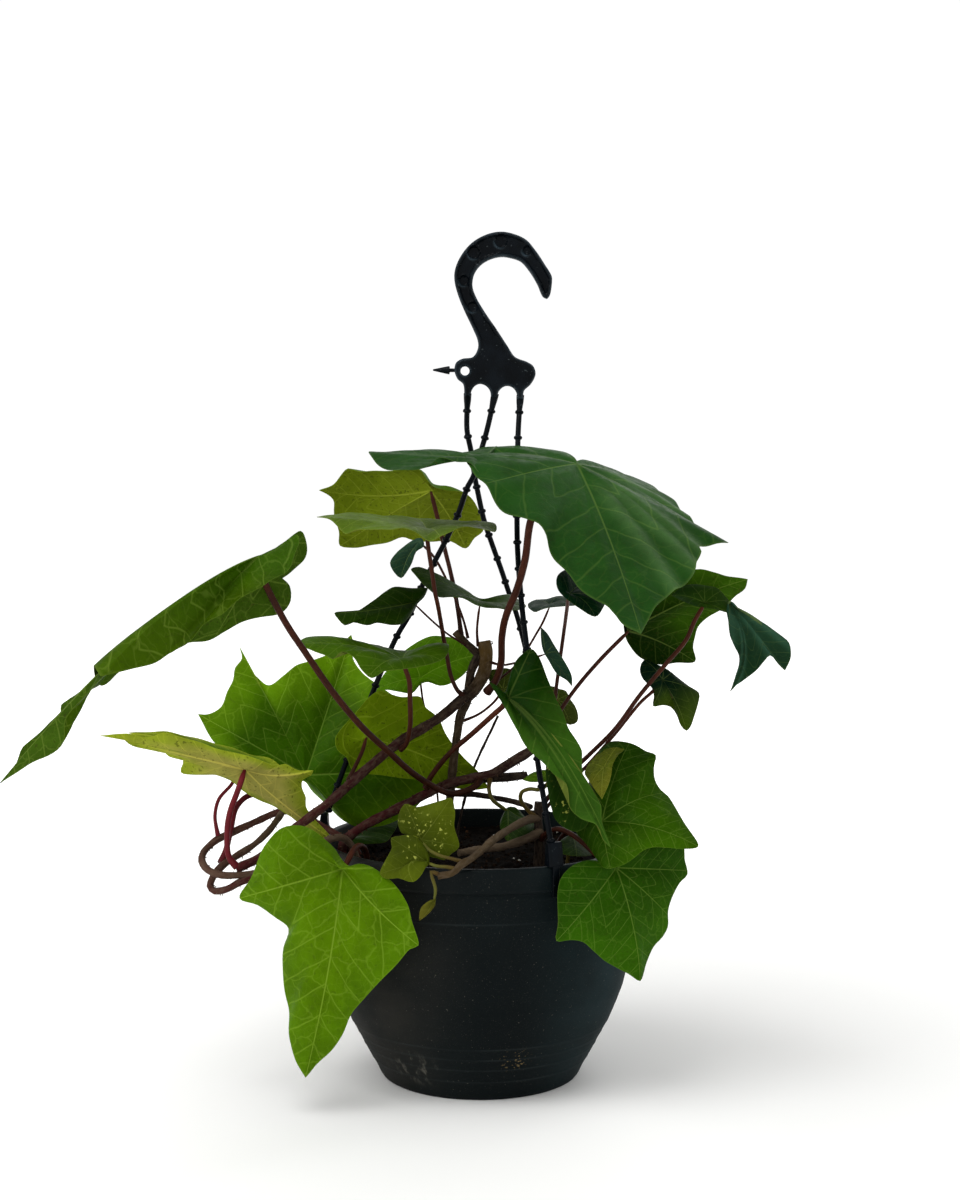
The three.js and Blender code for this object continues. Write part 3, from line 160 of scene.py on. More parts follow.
# Leaves: joint is the place where the stalk meets the blade, tip the number of the corner of the
# margin, edge, at the leaf's tip, rib the place halfway along the main vein, dome how far the blade
# bows and radius the stalk's, both in millimetres. An under leaf shows its underside, a lobe is a
# second blade, and creases are the numbers of the corners that soft creases run to; each crease is
# also painted paler in its crease sheen colour, a painted sheen.
LEAVES = [dict(
    name="crown_leaf", joint=(577, 464, -45), tip=23, rib=(609, 545, -108), dome=2, radius=2.5,
    look="crown", creases=(11.5, 16.5, 18.5, 20), crease_sheen_colour=0x567646,
    edge=[
        471, 452, -24, 497, 447, -20, 522, 446, -17, 545, 451, -14, 562, 457, -17, 574, 461, -30,
        590, 468, -6, 617, 475, 0, 640, 482, -5, 658, 491, -20, 675, 500, -35, 683, 514, -45,
        697, 528, -60, 711, 537, -70, 728, 544, -85, 713, 545, -92, 699, 547, -100, 701, 553, -105,
        696, 564, -115, 693, 576, -125, 675, 591, -142, 658, 605, -155, 648, 620, -168,
        641, 634, -180, 624, 626, -175, 613, 614, -165, 606, 603, -158, 583, 593, -148,
        570, 577, -138, 560, 565, -132, 550, 549, -125, 546, 536, -122, 538, 524, -118,
        524, 519, -115, 509, 514, -112, 495, 501, -105, 485, 485, -98, 475, 476, -90, 469, 464, -82,
    ],
    lobe=dict(
        joint=(484, 458, -54), tip=4, rib=(425, 457, -56), dome=1, look="crown",
        edge=[
            497, 447, -20, 471, 452, -24, 440, 451, -30, 400, 450.5, -42, 370, 452, -45,
            374, 460, -62, 382, 467, -75, 398, 471, -85, 414, 471, -85, 429, 464, -80,
            440, 457, -75, 457, 462, -80, 469, 464, -82, 478, 472, -88],
    ),
    stalk=[
        562, 474, -55, 545, 490, -64, 531, 520, -72, 525, 560, -62, 517, 589, -52, 506, 616, -40,
        502, 636, -30, 501, 663, -18, 496, 680, -10, 487, 692, -4],
), dict(
    name="long_left_leaf", joint=(258, 556, -112), tip=12, rib=(184, 587, -149), dome=2, radius=2.2,
    look="long", under=True, stalk_look="dark",
    edge=[
        297, 534, -108, 296, 549, -118, 288, 572, -128, 267, 583, -135, 249, 591, -140,
        224, 614, -148, 204, 625, -152, 181, 646, -158, 161, 661, -164, 143, 667, -170,
        114, 671, -178, 101, 677, -182, 94, 666, -168, 100, 684, -152, 130, 668, -142,
        160, 656, -132, 180, 647, -120, 205, 641, -108, 224, 631, -100, 240, 622, -96,
        262, 619, -92, 280, 612, -88, 290, 600, -86, 289, 585, -88, 282, 579, -92, 292, 574, -88,
        303, 560, -86, 306, 545, -88, 301, 531, -96, 285, 544, -106],
    lobe=dict(
        joint=(101, 671, -167), tip=7, rib=(48, 727, -184), dome=0, look="long", under=True,
        edge=[
            101, 677, -182, 88, 693, -188, 74, 708, -192, 66, 722, -194, 63, 740, -196,
            47, 755, -198, 33, 763, -199, 0, 784, -200, 16, 761, -188, 24, 748, -184, 43, 736, -180,
            60, 718, -175, 60, 704, -170, 75, 698, -162, 100, 684, -152, 112, 668, -150,
            116, 660, -166, 115, 668, -178],
    ),
    stalk=[
        262, 575, -109, 284, 620, -98, 305, 652, -88, 332, 691, -74, 362, 727, -58, 389, 752, -45,
        410, 771, -33, 429, 784, -24, 448, 793, -20, 462, 792, -17, 474, 787, -13, 480, 780, -8],
), dict(
    name="pale_left_leaf", joint=(245, 769, -36), tip=0, rib=(180, 748, -48), dome=4, radius=2.0,
    look="pale", under=True, stalk_look="crimson", slot="leaf_olive",
    edge=[
        100, 736, -60, 117, 734, -58, 131, 733, -56, 150, 737, -54, 163, 734, -53, 179, 737, -52,
        197, 741, -50, 215, 747, -48, 233, 753, -46, 251, 757, -44, 266, 762, -42, 276, 766, -38,
        285, 763, -36, 299, 771, -33, 313, 772, -31, 311, 776, -30, 303, 779, -29, 302, 786, -28,
        306, 797, -27, 306, 806, -27, 318, 824, -26, 333, 840, -26, 316, 835, -26, 300, 822, -25,
        283, 813, -22, 269, 804, -22, 256, 797, -22, 242, 790, -23, 231, 781, -24, 208, 774, -28,
        181, 771, -32, 183, 761, -36, 169, 757, -40, 160, 747, -44, 152, 742, -47, 142, 746, -48,
        129, 743, -53, 119, 737, -57],
    stalk=[238, 790, -45, 229, 816, -50, 227, 840, -52, 229, 857, -54, 237, 867, -54],
), dict(
    name="sliver_leaf", joint=(238, 762, -20), tip=0, rib=(183, 743, -30), dome=1, radius=1.3,
    look="pale", stalk_look="crimson",
    edge=[
        128, 733, -46, 150, 731, -38, 163, 731, -34, 179, 735, -28, 197, 739, -22, 215, 743, -16,
        233, 748, -12, 251, 755, -10, 269, 759, -12, 280, 765, -16, 268, 770, -22, 250, 771, -25,
        230, 766, -27, 205, 760, -30, 180, 752, -34, 155, 742, -40],
    stalk=[233, 782, -22, 219, 799, -26, 215, 816, -30, 218, 836, -33],
), dict(
    name="big_back_leaf", joint=(306, 775, 13), tip=16, rib=(326, 712, 38), dome=3, radius=2.0,
    look="fern", stalk_look="crimson", slot="leaf_bright",
    edge=[
        198, 714, 5, 208, 714, 8, 221, 707, 12, 227, 692, 17, 233, 680, 23, 235, 668, 28,
        242, 658, 34, 240, 648, 38, 246, 664, 34, 256, 676, 31, 269, 685, 25, 283, 676, 32,
        297, 665, 38, 310, 661, 40, 328, 654, 45, 340, 645, 50, 351, 635, 58, 354, 645, 54,
        353, 658, 50, 362, 672, 46, 376, 684, 42, 400, 700, 38, 425, 722, 36, 445, 750, 34,
        452, 772, 32, 432, 790, 27, 410, 812, 22, 385, 825, 18, 360, 827, 17, 343, 820, 18,
        328, 806, 22, 313, 792, 20, 304, 781, 13, 292, 780, 12, 270, 777, 11, 250, 769, 12,
        228, 755, 12, 213, 741, 10],
    stalk=[
        285, 786, 4, 262, 792, -2, 246, 797, -8, 236, 808, -16, 231, 828, -28, 226, 850, -38,
        221, 863, -43],
), dict(
    name="olive_leaf", joint=(366, 738, -8), tip=10, rib=(425, 755, 6), dome=-3, radius=1.4,
    look="low_olive", under=True, slot="leaf_olive",
    edge=[
        378, 691, -2, 391, 694, 4, 402, 697, 9, 421, 697, 14, 424, 706, 15, 439, 719, 17,
        446, 733, 17, 454, 746, 16, 464, 758, 14, 477, 771, 12, 490, 788, 10, 470, 790, 6,
        445, 786, 4, 420, 780, 2, 400, 778, 0, 380, 775, -5, 354, 771, -12, 347, 758, -14,
        337, 750, -16, 335, 739, -15, 342, 728, -10, 352, 717, -6, 360, 708, -5, 368, 698, -3],
    stalk=[362, 752, -18, 354, 769, -28, 348, 781, -32],
), dict(
    name="dark_low_leaf", joint=(352, 838, 20), tip=3, rib=(375, 828, 27), dome=2, radius=1.3,
    look="shade",
    edge=[
        345, 836, 24, 360, 835, 30, 380, 827, 34, 396, 818, 35, 397, 826, 26, 392, 835, 19,
        386, 842, 12, 372, 844, 9, 357, 844, 8, 347, 842, 12, 342, 840, 18],
    stalk=[356, 846, 12, 362, 858, 8, 364, 866, 8],
), dict(
    name="mid_left_leaf", joint=(402, 660, -50), tip=0, rib=(350, 650, -52), dome=3, radius=1.7,
    look="moss",
    edge=[
        298, 645, -60, 307, 638, -45, 318, 636, -38, 328, 641, -30, 343, 644, -22, 362, 645, -14,
        377, 650, -12, 397, 654, -11, 416, 653, -11, 435, 648, -18, 447, 643, -30, 447, 655, -50,
        435, 662, -62, 420, 666, -70, 400, 671, -78, 383, 671, -80, 372, 677, -84, 362, 670, -80,
        353, 657, -72, 341, 653, -68, 333, 659, -72, 326, 654, -68, 312, 650, -64],
    stalk=[409, 680, -46, 410, 700, -42, 410, 727, -34, 406, 744, -26, 401, 749, -20],
), dict(
    name="bright_mid_leaf", joint=(420, 678, 30), tip=9, rib=(452, 664, 40), dome=2, radius=0.8,
    look="bright", slot="leaf_bright",
    edge=[
        377, 689, 25, 383, 676, 30, 392, 664, 35, 401, 654, 40, 418, 642, 48, 433, 636, 52,
        443, 636, 52, 458, 639, 50, 470, 648, 46, 485, 654, 42, 473, 661, 38, 465, 673, 34,
        452, 683, 28, 440, 686, 25, 428, 682, 26, 421, 684, 25, 412, 693, 20, 400, 692, 20,
        388, 690, 22],
    stalk=[423, 701, 38, 428, 722, 43, 433, 752, 45, 437, 790, 40, 440, 830, 30, 442, 862, 22],
), dict(
    name="upper_back_leaf", joint=(431, 491, 38), tip=0, rib=(378, 500, 52), dome=-4, radius=1.6,
    look="ochre", under=True, stalk_look="dark", slot="leaf_olive",
    edge=[
        319, 491, 50, 334, 483, 45, 341, 475, 42, 348, 469, 38, 360, 472, 36, 379, 471, 32,
        400, 469, 30, 419, 470, 30, 427, 480, 34, 434, 487, 38, 446, 490, 42, 459, 491, 46,
        471, 499, 52, 478, 509, 58, 484, 528, 68, 475, 538, 74, 466, 549, 80, 451, 541, 78,
        432, 541, 78, 412, 541, 78, 402, 538, 76, 387, 542, 76, 370, 545, 76, 353, 548, 76,
        340, 547, 74, 339, 531, 68, 334, 514, 60, 333, 500, 54],
    stalk=[438, 520, 35, 445, 550, 28, 450, 570, 22, 456, 598, 14, 460, 626, 8, 461, 636, 6],
), dict(
    name="edge_leaf", joint=(427, 530, -46), tip=0, rib=(375, 524, -62), dome=2, radius=1.5,
    look="edge",
    edge=[
        317, 516, -65, 332, 515, -47, 348, 514, -35, 370, 516, -25, 391, 516, -16, 407, 518, -12,
        422, 520, -9, 440, 520, -9, 461, 522, -13, 482, 524, -23, 496, 524, -37, 495, 531, -47,
        481, 529, -57, 466, 528, -65, 451, 531, -73, 440, 535, -77, 430, 541, -77, 415, 532, -80,
        404, 529, -80, 390, 531, -83, 379, 529, -83, 366, 528, -85, 356, 529, -85, 346, 534, -87,
        339, 528, -81, 330, 521, -73],
    stalk=[
        428, 545, -46, 432, 572, -43, 435, 592, -44, 438, 606, -38, 444, 640, -19, 447, 656, -15,
        451, 676, -11, 458, 691, -8, 466, 697, -5],
), dict(
    name="slate_left_leaf", joint=(419, 542, 12), tip=5, rib=(408, 559, 7), dome=1, radius=0.9,
    look="slate",
    edge=[
        421, 538, 14, 424, 546, 10, 416, 552, 6, 412, 563, 2, 408, 570, 0, 401, 578, -2,
        394, 572, 0, 390, 563, 4, 395, 555, 8, 401, 549, 12, 412, 541, 16],
    stalk=[428, 550, 12, 436, 560, 11.5, 449, 585, 8, 459, 608, 3, 464, 622, 2, 468, 638, 4],
), dict(
    name="curved_leaf", joint=(480, 604, -10), tip=0, rib=(448, 588, -20), dome=2, radius=0.9,
    look="moss_dark",
    edge=[
        411, 569, -18, 419, 567, -12, 428, 571, -9, 440, 579, -7, 453, 585, -4, 462, 594, 2,
        475, 601, 4, 487, 602, 4, 499, 600, 4, 510, 595, 4, 520, 600, 0, 526, 606, -12,
        520, 610, -24, 508, 611, -30, 497, 608, -31, 487, 607, -32, 475, 604, -31, 463, 598, -33,
        451, 597, -36, 439, 598, -38, 430, 591, -35, 423, 583, -30, 416, 575, -24],
    stalk=[478, 618, -5, 477, 632, 0, 478, 646, 3],
), dict(
    name="curved_right_leaf", joint=(550, 605, -12), tip=4, rib=(563, 602, -10), dome=1, radius=0.8,
    look="slate",
    edge=[
        529, 603, 2, 536, 600, 6, 546, 600, 6, 562, 596, 2, 576, 604.5, -8, 566, 606, -18,
        556, 607, -23, 548, 608, -26, 541, 610, -28, 536, 612, -28, 530, 609, -20, 528, 606, -6],
    stalk=[543, 622, -16, 535, 636, -22, 528, 648, -24, 518, 663, -18, 506, 674, -8, 497, 681, -2],
), dict(
    name="dark_green_leaf", joint=(414, 603, -18), tip=0, rib=(372, 613, -38), dome=2, radius=0.7,
    look="shade",
    edge=[
        334, 614, -50, 345, 612, -44, 356, 611, -38, 373, 601, -28, 384, 593, -20, 395, 587, -14,
        412, 588, -9, 428, 588, -8, 424, 597, -12, 417, 604, -17, 413, 611, -22, 409, 617, -28,
        401, 624, -36, 391, 626, -42, 377, 623, -44, 367, 625, -50, 353, 622, -52, 345, 625, -56,
        338, 619, -54],
    stalk=[428, 617, -13, 445, 632, -7, 457, 640, 0, 466, 645, 3],
), dict(
    name="shaded_crown_leaf", joint=(569, 594, -77), tip=4, rib=(583, 602, -78), dome=1, radius=1.3,
    look="dark",
    edge=[
        557, 577, -68, 557, 587, -73, 562, 595, -79, 579, 608, -85, 595, 617, -88, 603, 608, -80,
        606, 598, -70, 604, 585, -55, 592, 575, -45, 580, 570, -50, 566, 570, -60],
    stalk=[566, 616, -42, 563, 638, -20, 560, 660, -17, 556, 690, -19, 554, 712, -23],
), dict(
    name="right_back_leaf", joint=(628, 631, 0), tip=6, rib=(690, 605, -12), dome=-4, radius=1.4,
    look="deep_olive", under=True, slot="leaf_olive",
    edge=[
        625, 618, -3, 640, 600, -8, 660, 585, -12, 696, 569, -15, 715, 572, -15, 729, 577, -16,
        748, 580, -20, 745, 588, -14, 736, 595, -8, 729, 602, -4, 720, 610, 2, 706, 620, 8,
        698, 627, 12, 695, 636, 16, 693, 647, 20, 695, 661, 26, 676, 664, 26, 663, 665, 26,
        651, 662, 24, 640, 657, 20, 631, 647, 14, 626, 638, 8],
    stalk=[600, 660, -8, 576, 688, -14, 560, 711, -18, 556, 718, -20],
), dict(
    name="drooping_right_leaf", joint=(705, 603, -35), tip=0, rib=(688, 597, -33), dome=2,
    radius=1.5, look="wing",
    edge=[
        671, 595, -30, 686, 585, -30, 708, 586, -30, 717, 588, -30, 724, 595, -32, 731, 604, -37,
        729, 613, -43, 722, 611, -40, 714, 609, -38, 700, 607, -34, 685, 602, -28],
    lobe=dict(
        joint=(729, 603, -37), tip=11, rib=(745, 650, -58), dome=1, look="drooping",
        creases=(4.5, 8, 10.5), crease_sheen_colour=0x3E6450,
        edge=[
            733, 604, -37, 743, 615, -42, 754, 622, -48, 770, 633, -55, 787, 640, -60,
            791, 656, -66, 785, 671, -70, 778, 665, -68, 770, 657, -64, 756, 670, -67,
            743, 681, -70, 730, 692, -72, 735, 679, -68, 739, 665, -64, 739, 655, -60,
            734, 646, -56, 730, 637, -52, 728.5, 622, -47, 727, 608, -40],
    ),
    stalk=[
        695, 620, -36, 686, 640, -37, 665, 665, -37, 640, 695, -36, 615, 729, -34, 590, 754, -30,
        568, 775, -27, 550, 795, -25, 542, 806, -25],
), dict(
    name="small_curled_leaf", joint=(662, 680, -4), tip=10, rib=(675, 706, -6), dome=3, radius=1.2,
    look="teal",
    edge=[
        644, 660, 0, 640, 669, -2, 643, 679, -4, 652, 688, -6, 654, 697, -8, 653, 706, -8,
        663, 705, -6, 671, 707, -6, 677, 715, -8, 681, 726, -10, 686, 731, -10, 690, 727, -8,
        694, 717, -4, 698, 704, 0, 699, 693, 4, 690, 687, 4, 679, 679, 4, 668, 670, 4, 656, 664, 3],
    stalk=[
        654, 690, -6, 640, 703, -16, 614, 735, -20, 595, 757, -18, 575, 778, -16, 554, 799, -18,
        542, 813, -22],
), dict(
    name="front_folded_leaf", joint=(508, 698, -77), tip=13, rib=(556, 747, -91), dome=2,
    radius=1.9, look="folded",
    edge=[
        531, 649, -64, 538, 657, -67, 549, 682, -72, 556, 698, -76, 563, 713, -80, 568, 729, -84,
        577, 741, -88, 582, 750, -90, 582, 763, -93, 584, 779, -96, 593, 793, -98, 601, 806, -100,
        602, 820, -102, 611, 848, -104, 603, 840, -104, 597, 826, -104, 581, 818, -102,
        570, 807, -102, 569, 799, -101, 566, 784, -100, 554, 775, -98, 541, 760, -95, 525, 745, -92,
        515, 727, -90, 504, 706, -85, 496, 693, -80, 489, 682, -76, 498, 690, -76, 505, 693, -75,
        508, 684, -72, 512, 670, -68, 518, 658, -64],
    stalk=[
        503, 706, -70, 493, 715, -62, 473, 733, -44, 452, 751, -29, 437, 768, -19, 429, 780, -15,
        426, 788, -13],
), dict(
    name="right_upper_leaf", joint=(602, 822, -66), tip=11, rib=(652, 832, -76), dome=5, radius=1.8,
    look="mid", slot="leaf_bright",
    edge=[
        598, 755, -32, 610, 742, -30, 626, 742, -32, 636, 745, -34, 646, 751, -38, 656, 756, -42,
        654, 768, -46, 655, 780, -50, 661, 790, -54, 668, 796, -58, 684, 823, -72, 698, 846, -84,
        683, 849, -86, 669, 848, -86, 653, 848, -87, 643, 851, -88, 633, 858, -90, 620, 866, -91,
        606, 869, -92, 598, 861, -84, 591, 850, -74, 584, 841, -65, 576, 831, -57, 580, 815, -50,
        584, 800, -45, 588, 785, -40, 592, 770, -36],
    lobe=dict(
        joint=(604, 768, -54), tip=8, rib=(603, 783, -65), dome=1, look="mid", under=True,
        edge=[
            596, 755, -32.5, 608, 745, -30.6, 620, 744, -31.5, 624, 750, -38, 619, 754, -45,
            613, 764, -54, 611, 776, -63, 608, 787, -71, 602, 799, -78, 596, 791, -68,
            588.5, 780, -56, 585, 772, -45],
    ),
    stalk=[592, 823, -53, 580, 825, -38, 566, 832, -16, 557, 846, -10, 553, 864, -10],
), dict(
    name="right_lower_leaf", joint=(616, 868, -81), tip=14, rib=(632, 924, -94), dome=2, radius=1.8,
    look="clover", slot="leaf_bright",
    edge=[
        593, 860, -82, 581, 862, -88, 570, 868, -94, 561, 878, -99, 558, 889, -101, 557, 906, -103,
        558, 926, -104, 557, 941, -105, 570, 940, -103, 583, 942, -101, 593, 951, -100,
        603, 960, -98, 616, 967, -96, 629, 974, -95, 640, 981, -94, 643, 975, -92, 646, 962, -88,
        653, 947, -84, 663, 937, -80, 668, 927, -78, 668, 911, -75, 673, 894, -70, 679, 883, -66,
        688, 874, -62, 685, 859, -61, 683, 846, -62, 669, 843, -66, 654, 843, -70, 640, 847, -74,
        628, 857, -77, 618, 864, -79, 605, 862, -80],
    stalk=[
        608, 864, -76, 594, 853, -68, 582, 842, -58, 571, 834, -50, 558, 829, -42, 547, 833, -34,
        541, 839, -28],
), dict(
    name="front_left_leaf", joint=(343, 869, -88), tip=17, rib=(332, 970, -97), dome=8, radius=2.0,
    look="lime", slot="leaf_bright",
    edge=[
        334, 848, -80, 317, 833, -76, 300, 826, -74, 282, 828, -74, 265, 846, -76, 258, 861, -77,
        250, 879, -78, 240, 898, -80, 258, 905, -82, 276, 918, -84, 288, 929, -86, 284, 948, -87,
        283, 966, -88, 285, 994, -90, 289, 1013, -92, 290, 1037, -93, 295, 1059, -94,
        305, 1078, -95, 317, 1064, -95, 332, 1050, -96, 343, 1033, -97, 351, 1014, -98,
        365, 998, -100, 380, 981, -102, 396, 965, -104, 410, 949, -106, 419, 945, -107,
        411, 920, -107, 407, 904, -106, 393, 883, -104, 374, 868, -100, 359, 864, -95,
        349, 866, -90, 342, 860, -84],
    stalk=[349, 858, -82, 355, 848, -73, 361, 846, -62, 366, 852, -52, 368, 870, -47],
), dict(
    name="variegated_upper_leaf", joint=(421, 840, -92), tip=4, rib=(436, 820, -85), dome=2,
    radius=1.1, look="fleck", stalk_look="green", slot="leaf_olive",
    edge=[
        405, 804, -82, 417, 807, -82, 426, 805, -81, 444, 800, -79, 451, 798, -78, 455, 813, -81,
        454, 826, -84, 459, 847, -90, 451, 854, -93, 444, 860, -95, 437, 858, -95, 429, 856, -95,
        423, 846, -93.5, 417, 838, -91, 409, 835, -90, 402, 833, -88, 399, 827, -86, 398, 818, -84],
    stalk=[429, 850, -98.5, 441, 856, -101.5, 453, 859, -102, 463, 862, -102],
), dict(
    name="variegated_lower_leaf", joint=(427, 862, -102), tip=9, rib=(409, 864, -104), dome=2,
    radius=1.1, look="fleck", stalk_look="green", slot="leaf_olive",
    edge=[
        391, 838, -98, 400, 836, -98, 409, 835, -98, 417, 838, -99, 425, 847, -100, 429, 856, -101,
        429, 864, -103, 425, 868, -104, 422, 874, -105, 413, 882, -107, 398, 878, -106,
        387, 879, -106, 380, 874, -105, 388, 856, -102, 392, 848, -100],
    stalk=[436, 866, -105, 447, 867, -106, 456, 869, -106],
), dict(
    name="hanging_bud", joint=(434, 901, -108), tip=2, rib=(428, 911, -108), dome=1, radius=1.1,
    look="bud", stalk_look="green", slot="leaf_olive",
    edge=[
        431, 900, -108, 421, 908, -108, 419, 921, -108, 428, 914, -108, 435, 905, -108,
        436, 899, -108],
    stalk=[435.5, 889, -108, 432, 877, -107.5, 431, 872, -107, 438, 874, -107],
), dict(
    name="flecked_dark_leaf", joint=(553, 768, -52), tip=5, rib=(569, 797, -62), dome=2, radius=1.4,
    look="fleck_dark", stalk_look="green",
    edge=[
        546, 762, -52, 556, 766, -52, 570, 775, -56, 582, 790, -61, 590, 810, -67, 588, 824, -71,
        577, 832, -75, 566, 829, -75, 556, 820, -73, 551, 806, -68, 548, 790, -62, 546, 775, -56],
    stalk=[
        548, 783, -50, 540, 789.5, -46, 530, 789, -41, 522, 792, -37, 520.5, 799, -34,
        526, 808, -31, 535, 817, -28],
), dict(
    name="soil_leaf", joint=(508, 810, -10), tip=5, rib=(518, 818, -15), dome=1, radius=1.4,
    look="shade", stalk_look="green",
    edge=[
        500, 826, -25, 503, 815, -12, 508, 808, -6, 516, 808, -6, 524, 816, -12, 534, 824, -20,
        532, 834, -32, 520, 839, -38, 508, 841, -42, 503, 834, -34],
    stalk=[500, 806, -14, 492, 799, -17, 489, 790, -16, 490, 779, -8],
), dict(
    name="rim_leaf", joint=(574, 838, -30), tip=5, rib=(584, 845, -38), dome=1, radius=1.2,
    look="shade", stalk_look="green",
    edge=[
        560, 842, -40, 566, 837, -28, 574, 834, -22, 584, 837, -24, 590, 844, -34, 594, 853, -46,
        584, 856, -54, 573, 856, -55, 563, 854, -50, 560, 848, -45],
    stalk=[571, 846, -24, 568, 856, -22, 567, 870, -22],
), dict(
    name="slate_right_leaf", joint=(545, 654, -31), tip=6, rib=(558, 668, -35), dome=1, radius=0.8,
    look="slate",
    edge=[
        541, 627, -20, 547, 633, -22, 554, 645, -26, 561, 656, -30, 568, 668, -34, 572, 678, -37,
        572, 686, -38, 567, 680, -42, 557, 674, -40, 549, 661, -36, 543, 650, -30, 541, 638, -24],
    stalk=[530, 659, -22, 515, 663, -14, 501, 665, -5, 490, 662, 0],
), dict(
    name="olive_low_leaf", joint=(557, 700, 0), tip=7, rib=(564, 712, -2), dome=1, radius=1.2,
    look="olive", under=True, slot="leaf_olive",
    edge=[
        550, 686, 2, 559, 689, 4, 566, 691, 6, 570, 699, 6, 575, 706, 5, 578, 715, 3, 577, 722, 0,
        570, 725, -4, 562, 721, -6, 555, 715, -5, 549, 706, -2, 547, 695, 0],
    stalk=[550, 711, -4, 548, 722, -11, 549, 733, -17],
), dict(
    name="olive_inner_leaf", joint=(503, 690, 4), tip=5, rib=(503, 695, 2), dome=1, radius=0.9,
    look="olive", under=True, slot="leaf_olive",
    edge=[
        487, 672, 10, 497, 669, 12, 510, 669, 12, 516, 680, 8, 512, 693, 4, 502, 699, 2,
        494, 690, 5, 489, 680, 8],
    stalk=[494, 702, 6, 479, 714, 7, 463, 721, 5],
), dict(
    name="olive_side_leaf", joint=(546, 776, -33), tip=0, rib=(534, 777, -35), dome=1, radius=1.0,
    look="olive", slot="leaf_olive",
    edge=[
        523, 780, -35, 530, 774, -32, 538, 771, -30, 546, 770, -30, 550, 777, -34, 546, 782, -38,
        538, 782, -40, 530, 782, -38],
    stalk=[551, 766, -28, 551, 752, -24, 549, 740, -21],
)]
# Leaf looks: colour of the top by the joint and at the tip, how much of the net of veins shows, and
# colour of the underside, or two of them where it changes from the joint to the tip. The shade and
# dark looks are painted shade: leaves that lie in shadow are given darker colours.
LEAF_LOOKS = {
    "crown": (0x1C3E12, 0x183A0E, 0.3, 0x22421A),
    "long": (0x284400, 0x324A00, 0.9, 0x30480A),
    "moss": (0x304C02, 0x365404, 0.7, 0x4C5820),
    "moss_dark": (0x284402, 0x203A02, 0.4, 0x2A3A10),
    "fern": (0x2C4E00, 0x304E00, 0.8, 0x566018),
    "bright": (0x406800, 0x426A02, 0.8, 0x566018),
    "mid": (0x1E3C00, 0x2E5000, 0.8, 0x566018, 0x6A6E20),
    "clover": (0x1E4000, 0x2A5002, 0.8, 0x566018),
    "lime": (0x446400, 0x4A6C00, 1.0, 0x5C6A1C),
    "edge": (0x4E641C, 0x485E10, 0.6, 0x566020),
    # Painted shade: darker colours for leaves that lie in shadow
    "shade": (0x162C02, 0x182E02, 0.5, 0x3A4410),
    "slate": (0x243C2E, 0x1A3624, 0.5, 0x465020),
    # Painted shade: darker colours for a leaf that lies in shadow
    "dark": (0x042010, 0x062410, 0.4, 0x34420C),
    "wing": (0x1C3404, 0x18300C, 0.15, 0x465020),
    "drooping": (0x16301E, 0x122C18, 0.2, 0x465020),
    "teal": (0x02180C, 0x2E4006, 0.4, 0x3A3420),
    "folded": (0x0A2400, 0x2A4A0E, 0.2, 0x4C5820),
    "olive": (0x3C5A06, 0x3C5A06, 0.5, 0x303C10, 0x343E12),
    "ochre": (0x3C5A06, 0x3C5A06, 0.7, 0x627012, 0x5A6A0C),
    "low_olive": (0x344A06, 0x344A06, 0.8, 0x607A06, 0x566C04),
    "pale": (0x4A6410, 0x4A6410, 0.6, 0x8C8840, 0x848832),
    "deep_olive": (0x2A4604, 0x264204, 0.5, 0x0C2000, 0x2E4E06),
    "fleck": (0x323C04, 0x48540A, 0.3, 0x566018),
    "fleck_dark": (0x142A04, 0x183204, 0.3, 0x3A4410),
    "bud": (0x3C3E0C, 0x4C4A14, 0.2, 0x4A4414),
}
# Paler margins of a look; on the fern look they are painted light shining through the blade
PALE_AND_BACKLIT_MARGINS = {"fern": 0x527804, "lime": 0x4A6E02, "pale": 0x7C8A1E}
FLECKED_LOOKS = {"fleck", "fleck_dark"}
# Stalk colours by the joint and by the stem
STALK_COLOURS = {
    "maroon": (0x441F12, 0x2A120C), "crimson": (0x6A1A24, 0x5A1420), "green": (0x5A6424, 0x4A3A1A),
    "dark": (0x36140A, 0x221008),
}
# Woody branches: places, radius at the start and the end in millimetres, colour at both
BARK_GREEN, BARK_DARK, BARK_GREY, BARK_RED = 0x42341E, 0x1E1612, 0x564838, 0x461218
BARK_TAN = 0x54401C
STEMS = {
    "main_stem": [
        (TRUNK, 2.4, 2.9, BARK_GREEN, BARK_DARK), (STUB, 4.1, 4.4, BARK_TAN, BARK_DARK),
        (SPUR, 2.2, 2.5, BARK_GREEN, BARK_DARK), (LONG_STEM, 3.3, 2.7, BARK_DARK, BARK_RED),
        (UPPER_LOOP, 2.3, 2.1, BARK_RED, BARK_GREY), (LOWER_LOOP, 2.0, 2.3, BARK_GREY, BARK_RED),
    ],
    "second_stem": [
        (SECOND_STEM, 3.0, 3.0, BARK_RED, BARK_DARK),
        (BROKEN_BRANCH, 3.0, 2.6, BARK_DARK, BARK_DARK),
    ],
    "front_crown": [
        (CROWN, 3.3, 2.7, BARK_DARK, BARK_DARK), (UPPER_RUNNER, 2.6, 2.0, BARK_GREY, BARK_GREEN),
        (LOWER_RUNNER, 2.8, 2.2, BARK_GREY, BARK_GREY),
    ],
    "thin_runner": [(THIN_RUNNER, 1.9, 1.7, BARK_DARK, BARK_DARK)],
    "thin_shoot": [(THIN_SHOOT, 1.0, 0.8, BARK_DARK, BARK_DARK)],
}


# Sizes and colours that a user would change


class PotSettings(bpy.types.PropertyGroup):
    colour: FloatVectorProperty(
        name="Pot colour", description="Colour of the moulded pot", subtype="COLOR",
        default=(0.0045, 0.0070, 0.0075), min=0, max=1)
    # Chalk also scales the painted light on the pot's left and the painted sheen on its right
    chalk: FloatProperty(
        name="Chalk", description="How much pale dust and chalk lies on the pot", default=0.5,
        min=0, max=1, subtype="FACTOR")
    crumbs: IntProperty(
        name="Crumbs", description="Crumbs of soil on each square metre", default=30000, min=0)


